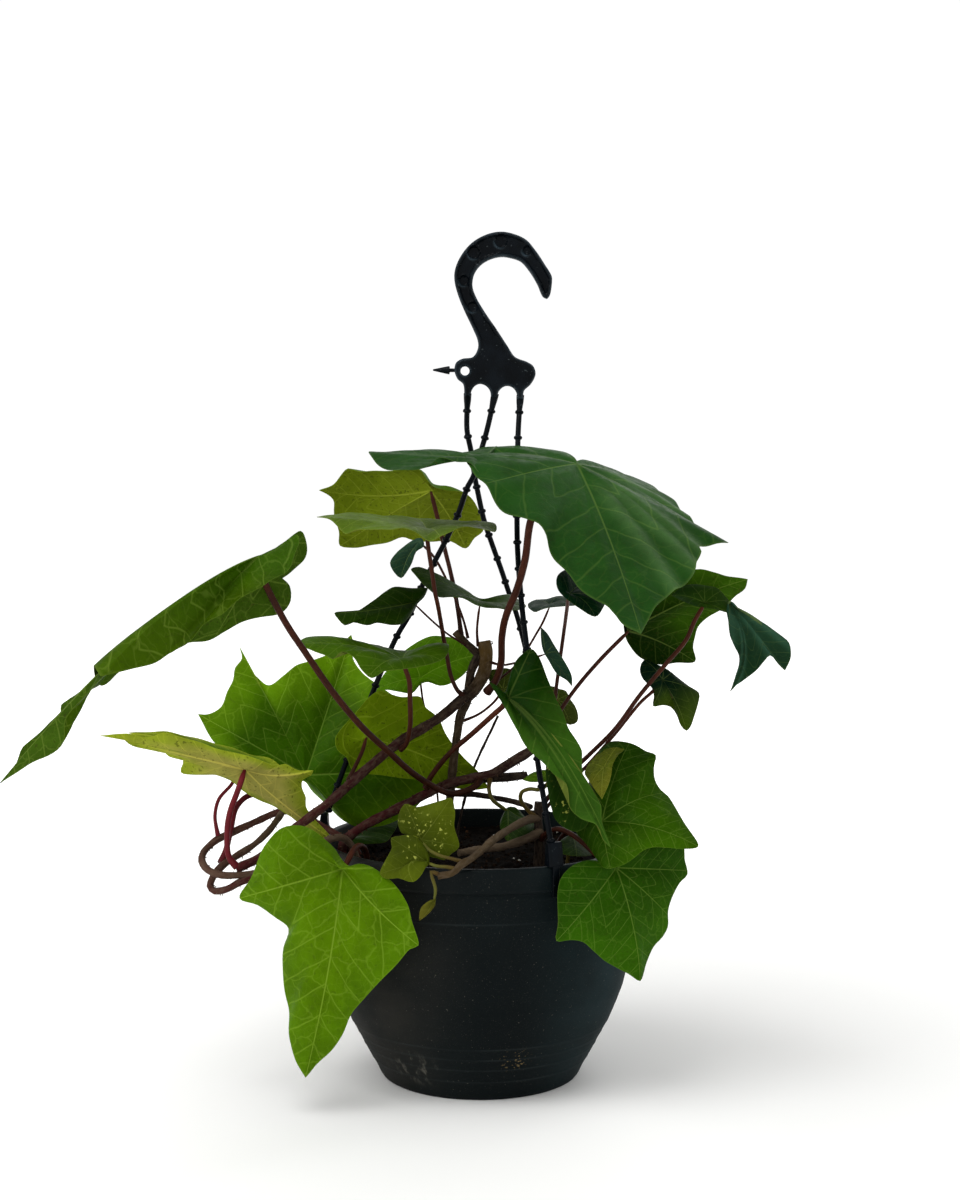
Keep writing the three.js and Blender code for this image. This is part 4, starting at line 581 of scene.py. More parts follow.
class HangerSettings(bpy.types.PropertyGroup):
    colour: FloatVectorProperty(
        name="Hanger colour", description="Colour of the hook, strands and clips",
        subtype="COLOR", default=(0.0035, 0.0058, 0.0085), min=0, max=1)
    strand_radius: FloatProperty(
        name="Strand radius", description="Radius of a strand between its knobs", default=0.0017,
        unit="LENGTH")
    knob_radius: FloatProperty(
        name="Knob radius", description="Radius of a knob on a strand", default=0.0027,
        unit="LENGTH")
    knob_spacing: FloatProperty(
        name="Knob spacing", description="Distance between two knobs", default=0.0162,
        unit="LENGTH")
    thickness: FloatProperty(
        name="Plate thickness", description="Thickness of the moulded hook", default=0.007,
        unit="LENGTH")


class PlantSettings(bpy.types.PropertyGroup):
    blade: FloatProperty(
        name="Blade thickness", description="Thickness of a leaf", default=0.0006,
        unit="LENGTH")
    quilting: FloatProperty(
        name="Quilting", description="How far a leaf swells between its veins", default=0.0009,
        unit="LENGTH")
    ripple: FloatProperty(
        name="Ripple", description="How far the margin of a leaf waves", default=0.0008,
        unit="LENGTH")
    pale: FloatVectorProperty(
        name="Vein colour", description="Colour of the veins", subtype="COLOR",
        default=(0.33, 0.42, 0.10), min=0, max=1)
    rootlets: IntProperty(
        name="Rootlets", description="Rootlets on each square metre of bark", default=26000, min=0)


# Meshes


def linear(code):
    """Turns a colour written as 0xRRGGBB into the red, green and blue that a shader takes."""
    parts = [((code >> shift) & 255) / 255 for shift in (16, 8, 0)]
    return np.array([p / 12.92 if p <= 0.04045 else ((p + 0.055) / 1.055) ** 2.4 for p in parts])


def unit(vectors):
    """Scales a vector, or each row of vectors, to length 1."""
    length = np.linalg.norm(vectors, axis=-1, keepdims=True)
    return vectors / np.maximum(length, 1e-12)


def fade(value, low, high):
    """Goes smoothly from 0 at low to 1 at high."""
    share = np.clip((value - low) / (high - low), 0, 1)
    return share * share * (3 - 2 * share)


class Shell:
    """Collects the points, faces and marks of one piece, and turns them into an object."""

    def __init__(self):
        self.points, self.faces, self.finishes = [], [], []
        self.marks = {"hue": [], "lay": [], "net": []}
        self.count = 0

    def add(self, points, faces, finish=0, **marks):
        points = np.asarray(points, float)
        self.faces += [tuple(int(i) + self.count for i in face) for face in faces]
        self.finishes += list(finish) if hasattr(finish, "__len__") else [finish] * len(faces)
        self.points.append(points)
        for name, rows in self.marks.items():
            value = np.asarray(marks.get(name, (0.0, 0.0, 0.0)), float)
            rows.append(np.broadcast_to(value, (len(points), 3)))
        self.count += len(points)

    def piece(self, name, materials, nodes, slot, flat_over):
        """Makes the object, on the root body, in place of the CAD nodes."""
        mesh = bpy.data.meshes.new(name)
        mesh.from_pydata(np.concatenate(self.points).tolist(), [], self.faces)
        for material in materials:
            mesh.materials.append(material)
        mesh.polygons.foreach_set("material_index", self.finishes)
        for label, rows in self.marks.items():
            values = np.concatenate(rows)
            if values.any():
                mark = mesh.attributes.new(label, "FLOAT_VECTOR", "POINT")
                mark.data.foreach_set("vector", values.astype(np.float32).ravel())
        mesh.validate()
        mesh.update()
        finish_mesh(mesh, flat_over)
        return carried(name, mesh, nodes)


def finish_mesh(mesh, flat_over):
    """Shades a mesh smooth, apart from edges sharper than flat_over degrees."""
    mesh.shade_smooth()
    mesh.set_sharp_from_angle(angle=math.radians(flat_over))


def carried(name, mesh, nodes):
    """Puts a finished mesh on the root body, in place of the CAD nodes."""
    piece = bpy.data.objects.new(name, mesh)
    bpy.context.scene.collection.objects.link(piece)
    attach(piece, "root")
    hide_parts(*nodes)
    return piece


def curve_between(before, start, end, after, shares):
    """Points of the centripetal curve from start to end, at shares of the way."""
    knots = [0.0]
    for a, b in ((before, start), (start, end), (end, after)):
        knots.append(knots[-1] + max(np.linalg.norm(b - a), 1e-9) ** 0.5)
    at = (knots[1] + shares * (knots[2] - knots[1]))[:, None]

    def blend(a, b, i, j):
        return ((knots[j] - at) * a + (at - knots[i]) * b) / (knots[j] - knots[i])

    one, two, three = blend(before, start, 0, 1), blend(start, end, 1, 2), blend(end, after, 2, 3)
    return blend(blend(one, two, 0, 2), blend(two, three, 1, 3), 1, 2)


def smooth_path(corners, spacing, closed=False, sharp=()):
    """Runs a smooth curve through corners, and returns its points and their places between corners.
    The curve breaks at the corners whose numbers are in sharp."""
    count = len(corners)
    points, places = [], []
    for i in range(count if closed else count - 1):
        start, end = corners[i], corners[(i + 1) % count]
        breaks_start = i in sharp or (not closed and i == 0)
        breaks_end = (i + 1) % count in sharp or (not closed and i == count - 2)
        before = 2 * start - end if breaks_start else corners[i - 1]
        after = 2 * end - start if breaks_end else corners[(i + 2) % count]
        steps = max(1, round(np.linalg.norm(end - start) / spacing))
        shares = np.arange(steps) / steps
        points.append(curve_between(before, start, end, after, shares))
        places.append(i + shares)
    if not closed:
        points.append(corners[-1:])
        places.append([count - 1])
    return np.concatenate(points), np.concatenate(places)


def sharp_corners(corners, widest):
    """Numbers of the corners of a closed outline that are narrower than widest degrees."""
    back = unit(np.roll(corners, 1, 0) - corners)
    on = unit(np.roll(corners, -1, 0) - corners)
    return set(np.nonzero((back * on).sum(1) > math.cos(math.radians(widest)))[0])


def length_along(line):
    """How far each point of a line is from its start."""
    return np.concatenate([[0], np.cumsum(np.linalg.norm(np.diff(line, axis=0), axis=1))])


def ring_faces(rows, around, first=0):
    """Four-sided faces between rows of points that run round a piece."""
    here = first + np.arange(rows - 1)[:, None] * around + np.arange(around)
    after = first + np.arange(rows - 1)[:, None] * around + (np.arange(around) + 1) % around
    return np.stack([here, after, after + around, here + around], -1).reshape(-1, 4)


def turned(profile, segments, lift=None):
    """Turns a closed profile of [radius, height] in millimetres round the pot's axis.
    The profile starts and ends on the axis, and runs up the outside. lift raises each point."""
    rows = np.array(profile[1:-1], float)
    angles = 2 * np.pi * np.arange(segments) / segments
    points = np.stack([
        rows[:, :1] * np.cos(angles), rows[:, :1] * np.sin(angles),
        np.broadcast_to(rows[:, 1:], (len(rows), segments)),
    ], -1).reshape(-1, 3)
    ends = np.array([(0, 0, profile[0][1]), (0, 0, profile[-1][1])], float)
    points = np.concatenate([points, ends])
    if lift is not None:
        points[:, 2] += lift(points)
    faces = ring_faces(len(rows), segments).tolist()
    first, last = len(points) - 2, len(points) - 1
    top = (len(rows) - 1) * segments
    for i in range(segments):
        after = (i + 1) % segments
        faces += [(first, after, i), (last, top + i, top + after)]
    return points * MM + RIM_MIDDLE, faces


# Geometry Nodes


def add(tree, kind, sockets=None, **settings):
    """Adds a node, with its settings, and gives its inputs a value or joins them to an output."""
    node = tree.nodes.new(kind)
    for name, value in settings.items():
        setattr(node, name, value)
    for name, value in (sockets or {}).items():
        if isinstance(value, bpy.types.NodeSocket):
            tree.links.new(value, node.inputs[name])
        else:
            node.inputs[name].default_value = value
    return node


def maths(tree, operation, *values):
    """Adds a Math node and returns its output."""
    return add(tree, "ShaderNodeMath", dict(enumerate(values)), operation=operation).outputs[0]


def times(tree, first, *others):
    """Multiplies values by each other."""
    for other in others:
        first = maths(tree, "MULTIPLY", first, other)
    return first


def vector_maths(tree, operation, *values, scale=None):
    """Adds a Vector Math node and returns its output."""
    sockets = dict(enumerate(values))
    if scale is not None:
        sockets["Scale"] = scale
    return add(tree, "ShaderNodeVectorMath", sockets, operation=operation).outputs[0]


def length_of(tree, vector):
    """Adds a node that measures a vector, and returns the length."""
    return add(tree, "ShaderNodeVectorMath", {0: vector}, operation="LENGTH").outputs["Value"]


def new_tree(name, inputs):
    """Makes a Geometry Nodes tree with named inputs, and returns it with its input node."""
    tree = bpy.data.node_groups.new(name, "GeometryNodeTree")
    tree.interface.new_socket("Geometry", in_out="INPUT", socket_type="NodeSocketGeometry")
    tree.interface.new_socket("Geometry", in_out="OUTPUT", socket_type="NodeSocketGeometry")
    for label, kind in inputs.items():
        tree.interface.new_socket(label, in_out="INPUT", socket_type="NodeSocket" + kind)
    return tree, tree.nodes.new("NodeGroupInput").outputs


def end_tree(tree, geometry, finish):
    """Ends a tree in Realize Instances and Set Material."""
    real = add(tree, "GeometryNodeRealizeInstances", {"Geometry": geometry}).outputs[0]
    done = add(tree, "GeometryNodeSetMaterial", {"Geometry": real, "Material": finish}).outputs[0]
    add(tree, "NodeGroupOutput", {0: done})


def grow(mesh, tree, **values):
    """Runs a tree on a mesh, and returns the result as a mesh of its own."""
    carrier = bpy.data.objects.new("carrier", mesh)
    bpy.context.scene.collection.objects.link(carrier)
    modifier = carrier.modifiers.new("grow", "NODES")
    modifier.node_group = tree
    for item in tree.interface.items_tree:
        label = item.name.lower().replace(" ", "_")
        if item.in_out == "INPUT" and label in values:
            modifier[item.identifier] = values[label]
    depsgraph = bpy.context.evaluated_depsgraph_get()
    result = bpy.data.meshes.new_from_object(carrier.evaluated_get(depsgraph))
    carrier.modifiers.remove(modifier)
    bpy.data.objects.remove(carrier)
    return result


def stored(tree, geometry, name, value, kind="FLOAT"):
    """Stores a named value on the points of a geometry."""
    node = add(tree, "GeometryNodeStoreNamedAttribute", {"Geometry": geometry, "Name": name},
               data_type=kind)
    tree.links.new(value, node.inputs["Value"])
    return node.outputs[0]


def stem_tree():
    """A round stem along a path whose points hold their own radius, with a lumpy skin."""
    tree, given = new_tree("Round stem along a path", {
        "Sides": "Int", "Lump height": "Float", "Lump size": "Float", "Finish": "Material"})
    path = add(tree, "GeometryNodeMeshToCurve", {"Mesh": given["Geometry"]}).outputs[0]
    spline = add(tree, "GeometryNodeSplineParameter")
    path = stored(tree, path, "share", spline.outputs["Factor"])
    path = stored(tree, path, "along", spline.outputs["Length"])
    circle = add(tree, "GeometryNodeCurvePrimitiveCircle", {
        "Resolution": given["Sides"], "Radius": 1.0}).outputs[0]
    place = add(tree, "GeometryNodeInputPosition").outputs[0]
    ring = stored(tree, circle, "around", place, "FLOAT_VECTOR")
    thick = add(tree, "GeometryNodeInputNamedAttribute", {"Name": "thick"},
                data_type="FLOAT").outputs[0]
    skin = add(tree, "GeometryNodeCurveToMesh", {
        "Curve": path, "Profile Curve": ring, "Scale": thick, "Fill Caps": True}).outputs[0]
    lump = add(tree, "ShaderNodeTexNoise", {
        "Scale": maths(tree, "DIVIDE", 1.0, given["Lump size"]), "Detail": 3.0}).outputs[0]
    height = times(tree, maths(tree, "SUBTRACT", lump, 0.5), given["Lump height"])
    normal = add(tree, "GeometryNodeInputNormal").outputs[0]
    offset = vector_maths(tree, "SCALE", normal, scale=height)
    skin = add(tree, "GeometryNodeSetPosition", {"Geometry": skin, "Offset": offset}).outputs[0]
    end_tree(tree, skin, given["Finish"])
    return tree


# Strands: sides of a strand, how far its thicker root reaches down its length, how much thicker the
# root is, and how squat a knob is
STRAND_SIDES = 14
ROOT_START, ROOT_END = 0.001, 0.0112
ROOT_SWELL = 1.45
KNOB_SQUAT = 0.62


def strand_tree():
    """A round strand along a path, thicker at its root, with a knob at every step."""
    tree, given = new_tree("Knobbed strand along a path", {
        "Radius": "Float", "Knob radius": "Float", "Knob spacing": "Float", "First knob": "Float",
        "Finish": "Material"})
    path = add(tree, "GeometryNodeMeshToCurve", {"Mesh": given["Geometry"]}).outputs[0]
    ring = add(tree, "GeometryNodeCurvePrimitiveCircle", {
        "Resolution": STRAND_SIDES, "Radius": 1.0}).outputs[0]
    down = add(tree, "GeometryNodeSplineParameter").outputs["Length"]
    root = times(tree, given["Radius"],
                 between(tree, down, ROOT_START, ROOT_END, ROOT_SWELL, 1.0))
    skin = add(tree, "GeometryNodeCurveToMesh", {
        "Curve": path, "Profile Curve": ring, "Scale": root, "Fill Caps": True}).outputs[0]
    lower = add(tree, "GeometryNodeTrimCurve", {
        "Curve": path, 4: given["First knob"], 5: 10.0}, mode="LENGTH").outputs[0]
    stops = add(tree, "GeometryNodeCurveToPoints", {
        "Curve": lower, "Length": given["Knob spacing"]}, mode="LENGTH")
    knob = add(tree, "GeometryNodeMeshUVSphere", {
        "Segments": STRAND_SIDES, "Rings": 8, "Radius": given["Knob radius"]}).outputs[0]
    squat = add(tree, "GeometryNodeTransform", {
        "Geometry": knob, "Scale": (1.0, 1.0, KNOB_SQUAT)}).outputs[0]
    knobs = add(tree, "GeometryNodeInstanceOnPoints", {
        "Points": stops.outputs["Points"], "Instance": squat,
        "Rotation": stops.outputs["Rotation"]}).outputs[0]
    both = add(tree, "GeometryNodeJoinGeometry")
    tree.links.new(skin, both.inputs[0])
    tree.links.new(knobs, both.inputs[0])
    end_tree(tree, both.outputs[0], given["Finish"])
    return tree


# Scattered grains: width of a grain over its depth, and how far it leans and turns, in radians
GRAIN_WIDTH = 0.75
GRAIN_LEAN = (0.9, 0.9, 3.1)


def scatter_tree():
    """Small lumps or hairs scattered over a surface and turned at random."""
    tree, given = new_tree("Scattered grains", {
        "Density": "Float", "Smallest": "Float", "Largest": "Float", "Length": "Float",
        "Seed": "Int", "Finish": "Material"})
    spread = add(tree, "GeometryNodeDistributePointsOnFaces", {
        "Mesh": given["Geometry"], "Density": given["Density"], "Seed": given["Seed"]})
    lump = add(tree, "GeometryNodeMeshIcoSphere", {"Radius": 1.0, "Subdivisions": 1}).outputs[0]
    lump = add(tree, "GeometryNodeTransform", {
        "Geometry": lump,
        "Scale": add(tree, "ShaderNodeCombineXYZ", {
            0: 1.0, 1: GRAIN_WIDTH, 2: given["Length"]}).outputs[0],
    }).outputs[0]
    size = add(tree, "FunctionNodeRandomValue", {
        2: given["Smallest"], 3: given["Largest"], "Seed": given["Seed"]}, data_type="FLOAT")
    lean = add(tree, "FunctionNodeRandomValue", {
        0: [-most for most in GRAIN_LEAN], 1: GRAIN_LEAN, "Seed": given["Seed"]},
        data_type="FLOAT_VECTOR")
    turn = add(tree, "FunctionNodeRotateRotation", {
        "Rotation": spread.outputs["Rotation"], "Rotate By": lean.outputs[0]},
        rotation_space="LOCAL").outputs[0]
    grains = add(tree, "GeometryNodeInstanceOnPoints", {
        "Points": spread.outputs["Points"], "Instance": lump, "Rotation": turn,
        "Scale": size.outputs[1]}).outputs[0]
    end_tree(tree, grains, given["Finish"])
    return tree


def path_mesh(points, thick=None):
    """A mesh of one open line, whose points hold their radius."""
    mesh = bpy.data.meshes.new("path")
    mesh.from_pydata(points.tolist(), [(i, i + 1) for i in range(len(points) - 1)], [])
    if thick is not None:
        mesh.attributes.new("thick", "FLOAT", "POINT").data.foreach_set(
            "value", np.asarray(thick, np.float32))
    return mesh


def values_of(mesh, name, width=1):
    """Reads a stored value of a mesh as an array."""
    values = np.zeros(len(mesh.vertices) * width, np.float32)
    mesh.attributes[name].data.foreach_get("vector" if width == 3 else "value", values)
    return values.reshape(-1, width)


def corners_of(mesh):
    """Reads the points and the faces of a mesh."""
    points = np.zeros(len(mesh.vertices) * 3, np.float32)
    mesh.vertices.foreach_get("co", points)
    return points.reshape(-1, 3), [tuple(face.vertices) for face in mesh.polygons]


# Materials: colours of what lies on a surface or shows in it, and of light painted on it
LEAF_SPECKS, LEAF_FLECKS = 0x2A2A0C, 0xA8AE50
BARK_SHADE, BARK_FIBRE, STALK_FIBRE = 0x140C08, 0x6A5C4C, 0x6A3A24
# The pot's brown dust also stands for painted light on its left, and its blue is a painted sheen
BROWN_DUST_AND_LIGHT, BLUE_SHEEN, CHALK, DRIED_MUD = 0x44403A, 0x2A3E42, 0x77746A, 0x8A7650
LINE_WEAR, POT_DUST = 0x3C4444, 0x7A776C
# Painted highlight of the hanger's plate, and its dust
HANGER_HIGHLIGHT, HANGER_DUST = 0x3C4A52, 0x5A6264
ROOTLETS = (0x2A1A12, 0x6A5440)
SOIL_BED = (0x060504, 0x171310)
FLOOR_PAINT = (0xF2F2F0, 0xF6F6F4)
WHITE = (1.0, 1.0, 1.0, 1.0)


def new_material(name, roughness, gloss):
    """Makes a material, and returns it with its tree, its shader and its Object coordinates."""
    material = bpy.data.materials.new(name)
    material.use_nodes = True
    tree = material.node_tree
    skin = tree.nodes["Principled BSDF"]
    skin.inputs["Roughness"].default_value = roughness
    skin.inputs["Specular IOR Level"].default_value = gloss
    return material, tree, skin, add(tree, "ShaderNodeTexCoord").outputs["Object"]


def grain(tree, place, scale, detail=3.0, roughness=0.5):
    """Adds a Noise Texture and returns its value."""
    return add(tree, "ShaderNodeTexNoise", {
        "Vector": place, "Scale": scale, "Detail": detail, "Roughness": roughness}).outputs[0]


def between(tree, value, low, high, start=0.0, end=1.0):
    """Maps a value smoothly from low..high to start..end."""
    return add(tree, "ShaderNodeMapRange", {0: value, 1: low, 2: high, 3: start, 4: end},
               interpolation_type="SMOOTHSTEP").outputs[0]


def mixed(tree, factor, first, second, blend="MIX"):
    """Mixes two colours."""
    return add(tree, "ShaderNodeMix", {0: factor, 6: first, 7: second}, data_type="RGBA",
               blend_type=blend).outputs[2]


def shade(colour, share=1.0):
    """A colour for a socket, from 0xRRGGBB or three numbers, times a share."""
    values = linear(colour) if isinstance(colour, int) else np.array(colour)
    return (*(values * share), 1.0)


def painted(tree, skin, colour):
    """Gives a shader its colour."""
    tree.links.new(colour, skin.inputs["Base Color"])


def uneven(tree, skin, roughness):
    """Gives a shader a roughness that varies."""
    tree.links.new(roughness, skin.inputs["Roughness"])


def relief(tree, skin, height, distance):
    """Raises the surface by a height, at most by distance in metres."""
    bump = add(tree, "ShaderNodeBump", {"Height": height, "Distance": distance, "Strength": 1.0})
    tree.links.new(bump.outputs[0], skin.inputs["Normal"])


def mark(tree, name):
    """Reads a mark of the piece, as its three parts and as a whole."""
    whole = add(tree, "ShaderNodeAttribute", attribute_name=name).outputs["Vector"]
    return add(tree, "ShaderNodeSeparateXYZ", {0: whole}).outputs, whole


def hue_of(tree):
    """Reads the colour that the piece carries."""
    return add(tree, "ShaderNodeAttribute", attribute_name="hue").outputs["Color"]


# Leaf surface: how much brighter the veins are than the blade, how much of the vein colour they
# take, the relief in metres, and how far the roughness varies
VEIN_BRIGHTER = (2.1, 1.8, 1.5, 1.0)
VEIN_TINT = 0.2
LEAF_RELIEF = 0.0004
LEAF_ROUGHNESS_RANGE = 0.07


def leaf_material(name, plant, roughness, gloss, veins, raised, specks=0.0, flecks=0.0):
    """A leaf side: lay holds the distance to the main vein in vein widths, the count of side veins
    and the share from joint to margin, and net the place on the blade in cells of the net of veins
    and how much of that net shows."""
    material, tree, skin, place = new_material(name, roughness, gloss)
    lay, _ = mark(tree, "lay")
    near, flat = mark(tree, "net")
    hue = hue_of(tree)
    brighter = mixed(tree, 1.0, hue, VEIN_BRIGHTER, "MULTIPLY")
    pale = mixed(tree, VEIN_TINT, brighter, shade(plant.pale))
    wander = maths(tree, "SUBTRACT", grain(tree, place, 60.0, 1.0), 0.5)
    main = between(tree, lay[0], 1.5, 0.3)
    count = maths(tree, "MULTIPLY_ADD", wander, 0.25, lay[1])
    side = between(tree, maths(tree, "PINGPONG", count, 0.5), 0.06, 0.006)
    bent = vector_maths(tree, "SCALE", add(tree, "ShaderNodeTexNoise", {
        "Vector": flat, "Scale": 2.2, "Detail": 2.0}).outputs["Color"], scale=0.55)
    bent = vector_maths(tree, "ADD", flat, bent)

    def cells(scale, width):
        edge = add(tree, "ShaderNodeTexVoronoi", {"Vector": bent, "Scale": scale},
                   feature="DISTANCE_TO_EDGE", voronoi_dimensions="2D").outputs[0]
        return between(tree, edge, width, 0.0)

    wide, narrow = times(tree, cells(1.0, 0.05), 0.42), times(tree, cells(3.2, 0.09), 0.16)
    mesh = maths(tree, "MAXIMUM", wide, narrow)
    side = times(tree, side, between(tree, near[2], 0.0, 1.0, 0.25, 0.6))
    main = times(tree, main, between(tree, near[2], 0.0, 0.6, 0.35, 1.0))
    vein = maths(tree, "MAXIMUM", main, side)
    vein = maths(tree, "MAXIMUM", vein, times(tree, mesh, near[2]))
    cloud = between(tree, grain(tree, place, 38.0, 4.0, 0.6), 0.3, 0.7, 0.8, 1.18)
    cloud = add(tree, "ShaderNodeCombineXYZ", {0: cloud, 1: cloud, 2: cloud}).outputs[0]
    body = mixed(tree, 1.0, hue, cloud, "MULTIPLY")
    star = between(tree, lay[2], 0.07, 0.01, 0.0, 0.35)
    rim = between(tree, lay[2], 0.982, 1.0, 0.0, 0.3)
    vein_share = times(tree, vein, veins)
    amount = maths(tree, "MAXIMUM", vein_share, maths(tree, "MAXIMUM", star, rim))
    body = mixed(tree, amount, body, pale)
    if specks:
        dots = between(tree, grain(tree, place, 480.0, 1.0), 0.645, 0.70, 0.0, specks)
        body = mixed(tree, dots, body, shade(LEAF_SPECKS))
    if flecks:
        dots = between(tree, grain(tree, place, 420.0, 2.0), 0.6, 0.68, 0.0, flecks)
        patch = between(tree, grain(tree, place, 70.0, 1.0), 0.5, 0.62)
        body = mixed(tree, times(tree, dots, patch), body, shade(LEAF_FLECKS))
    painted(tree, skin, body)
    rough = between(tree, grain(tree, place, 260.0, 2.0), 0.3, 0.7,
                    roughness - LEAF_ROUGHNESS_RANGE, roughness + LEAF_ROUGHNESS_RANGE)
    uneven(tree, skin, rough)
    fine = times(tree, grain(tree, place, 900.0, 2.0), 0.22)
    relief(tree, skin, maths(tree, "MULTIPLY_ADD", vein, raised, fine), LEAF_RELIEF)
    return material


# How long the fibres of bark are over the stem's radius, in millimetres along it
FIBRE_LENGTH = 7.0


def stem_material(name, streaks, roughness, depth, pale):
    """Bark or a stalk: lay holds the millimetres along the stem, and net the way round it."""
    material, tree, skin, place = new_material(name, roughness, 0.08)
    lay, _ = mark(tree, "lay")
    round_, _ = mark(tree, "net")
    hue = hue_of(tree)
    along = add(tree, "ShaderNodeCombineXYZ", {
        0: round_[0], 1: round_[1], 2: maths(tree, "DIVIDE", lay[0], FIBRE_LENGTH)}).outputs[0]
    fibre = grain(tree, along, 1.6, 6.0, 0.65)
    patch = grain(tree, place, 60.0, 3.0)
    colour = mixed(tree, between(tree, fibre, 0.35, 0.7, 0.0, streaks), hue, shade(pale))
    colour = mixed(tree, between(tree, patch, 0.35, 0.7, 0.0, 0.35), colour, shade(BARK_SHADE))
    painted(tree, skin, colour)
    relief(tree, skin, fibre, depth)
    return material


# A chalky smear and a dried splash of mud on the pot: millimetres sideways and up from the middle
# of its rim, how many of them fit in a metre each way, and where they fade in
SMEAR = ((-40, -130), (45.0, 45.0, 70.0), (1.1, 0.2))
MUD = ((21, -121), (80.0, 80.0, 90.0), (1.0, 0.3))
# How a smear runs down the wall: noise steps in a metre each way
RUNS = (210.0, 210.0, 60.0)
# Where the brown bloom of dust on the left, which also stands in for painted light on that side, and
# the painted blue sheen on the right begin and are full, in metres sideways from the pot's axis
BROWN_FROM, BROWN_FULL = 0.005, -0.085
BLUE_FROM, BLUE_FULL = 0.02, 0.085
# The smoother lip, in metres below the rim plane
LIP_FROM, LIP_FULL = 0.0165, 0.0145
POT_RELIEF, HANGER_RELIEF, CRUMB_RELIEF = 0.00008, 0.00004, 0.0008


def on_wall(sideways, height):
    """The place on the front of the pot's wall at millimetres sideways and up from its rim."""
    heights, radii = [h for _, h in OUTER_PROFILE], [r for r, _ in OUTER_PROFILE]
    radius = np.interp(height, heights, radii)
    return RIM_MIDDLE + np.array([sideways, -math.sqrt(radius**2 - sideways**2), height]) * MM


def stretched(tree, vector, scale):
    """Scales a vector differently each way."""
    return add(tree, "ShaderNodeMapping", {"Vector": vector, "Scale": scale}).outputs[0]


def near_spot(tree, place, spot, scale, edges):
    """How near a spot of the pot's wall a place is, from 0 to 1."""
    away = vector_maths(tree, "SUBTRACT", place, on_wall(*spot).tolist())
    return between(tree, length_of(tree, stretched(tree, away, scale)), *edges)


def pot_material(settings):
    """Charcoal plastic, near black in the middle, with a brown bloom of dust on the left that is
    also painted light on that side, a painted blue sheen on the right, fine pale specks and a few
    chalky smears low down."""
    material, tree, skin, place = new_material("pot_plastic", 0.58, 0.035)
    spot = add(tree, "ShaderNodeSeparateXYZ", {0: place}).outputs
    cloud = grain(tree, place, 14.0, 5.0, 0.6)
    colour = mixed(tree, between(tree, cloud, 0.35, 0.75, 0.0, 0.5), shade(settings.colour, 0.75),
                   shade(settings.colour, 1.5))
    middle = float(RIM_MIDDLE[0])
    # Brown dust on the left, also painted light on that side
    left = between(tree, spot[0], middle + BROWN_FROM, middle + BROWN_FULL)
    dust_and_sheen = times(tree, left, between(tree, grain(tree, place, 26.0, 4.0), 0.3, 0.75, 0.25, 0.85))
    colour = mixed(tree, times(tree, dust_and_sheen, settings.chalk), colour, shade(BROWN_DUST_AND_LIGHT))
    # Painted blue sheen on the right
    right = between(tree, spot[0], middle + BLUE_FROM, middle + BLUE_FULL)
    dust_and_sheen = times(tree, right, between(tree, grain(tree, place, 22.0, 4.0), 0.25, 0.7, 0.35, 0.8))
    colour = mixed(tree, times(tree, dust_and_sheen, settings.chalk), colour, shade(BLUE_SHEEN))
    reach = near_spot(tree, place, *SMEAR)
    runs = grain(tree, stretched(tree, place, RUNS), 1.0, 4.0, 0.6)
    chalk = times(tree, between(tree, runs, 0.5, 0.72), reach)
    colour = mixed(tree, times(tree, chalk, settings.chalk * 0.9), colour, shade(CHALK))
    lines = 0.0
    for height in (LINE_HEIGHT, *RING_HEIGHTS):
        apart = maths(tree, "SUBTRACT", spot[2], RIM_HEIGHT + height * MM)
        apart = maths(tree, "ABSOLUTE", apart)
        lines = maths(tree, "MAXIMUM", lines, between(tree, apart, 0.0009, 0.0001))
    reach = near_spot(tree, place, *MUD)
    spots = between(tree, grain(tree, place, 620.0, 1.0), 0.63, 0.69)
    colour = mixed(tree, times(tree, spots, reach, settings.chalk), colour, shade(DRIED_MUD))
    wear_and_highlight = between(tree, grain(tree, place, 30.0, 3.0), 0.35, 0.65, 0.25, 1.0)
    colour = mixed(tree, times(tree, lines, wear_and_highlight, 0.16), colour, shade(LINE_WEAR))
    specks = between(tree, grain(tree, place, 850.0, 1.0), 0.73, 0.78, 0.0, settings.chalk * 0.5)
    dust = between(tree, grain(tree, place, 1900.0, 1.0), 0.66, 0.76, 0.0, settings.chalk * 0.2)
    colour = mixed(tree, maths(tree, "MAXIMUM", specks, dust), colour, shade(POT_DUST))
    painted(tree, skin, colour)
    band = between(tree, spot[2], RIM_HEIGHT - LIP_FROM, RIM_HEIGHT - LIP_FULL)
    rough = between(tree, cloud, 0.3, 0.7, 0.5, 0.68)
    uneven(tree, skin, maths(tree, "SUBTRACT", rough, times(tree, band, 0.2)))
    relief(tree, skin, grain(tree, place, 1400.0, 3.0, 0.6), POT_RELIEF)
    return material


def hanger_material(settings):
    """Blue-black moulded plastic with a little dust: lay holds how much painted highlight its edges
    and recesses take.
    """
    material, tree, skin, place = new_material("hanger_plastic", 0.36, 0.06)
    cloud = grain(tree, place, 55.0, 4.0, 0.6)
    colour = mixed(tree, between(tree, cloud, 0.35, 0.7, 0.0, 0.7), shade(settings.colour, 0.3),
                   shade(settings.colour, 1.0))
    # Painted highlights on the plate's edges and on the lit side of its recesses
    wear_and_highlight = times(tree, mark(tree, "lay")[0][0], between(tree, cloud, 0.25, 0.6, 0.2, 0.75))
    colour = mixed(tree, wear_and_highlight, colour, shade(HANGER_HIGHLIGHT))
    dust = between(tree, grain(tree, place, 520.0, 1.0), 0.7, 0.78, 0.0, 0.25)
    colour = mixed(tree, dust, colour, shade(HANGER_DUST))
    painted(tree, skin, colour)
    uneven(tree, skin, between(tree, cloud, 0.3, 0.7, 0.3, 0.42))
    relief(tree, skin, grain(tree, place, 1100.0, 2.0), HANGER_RELIEF)
    return material


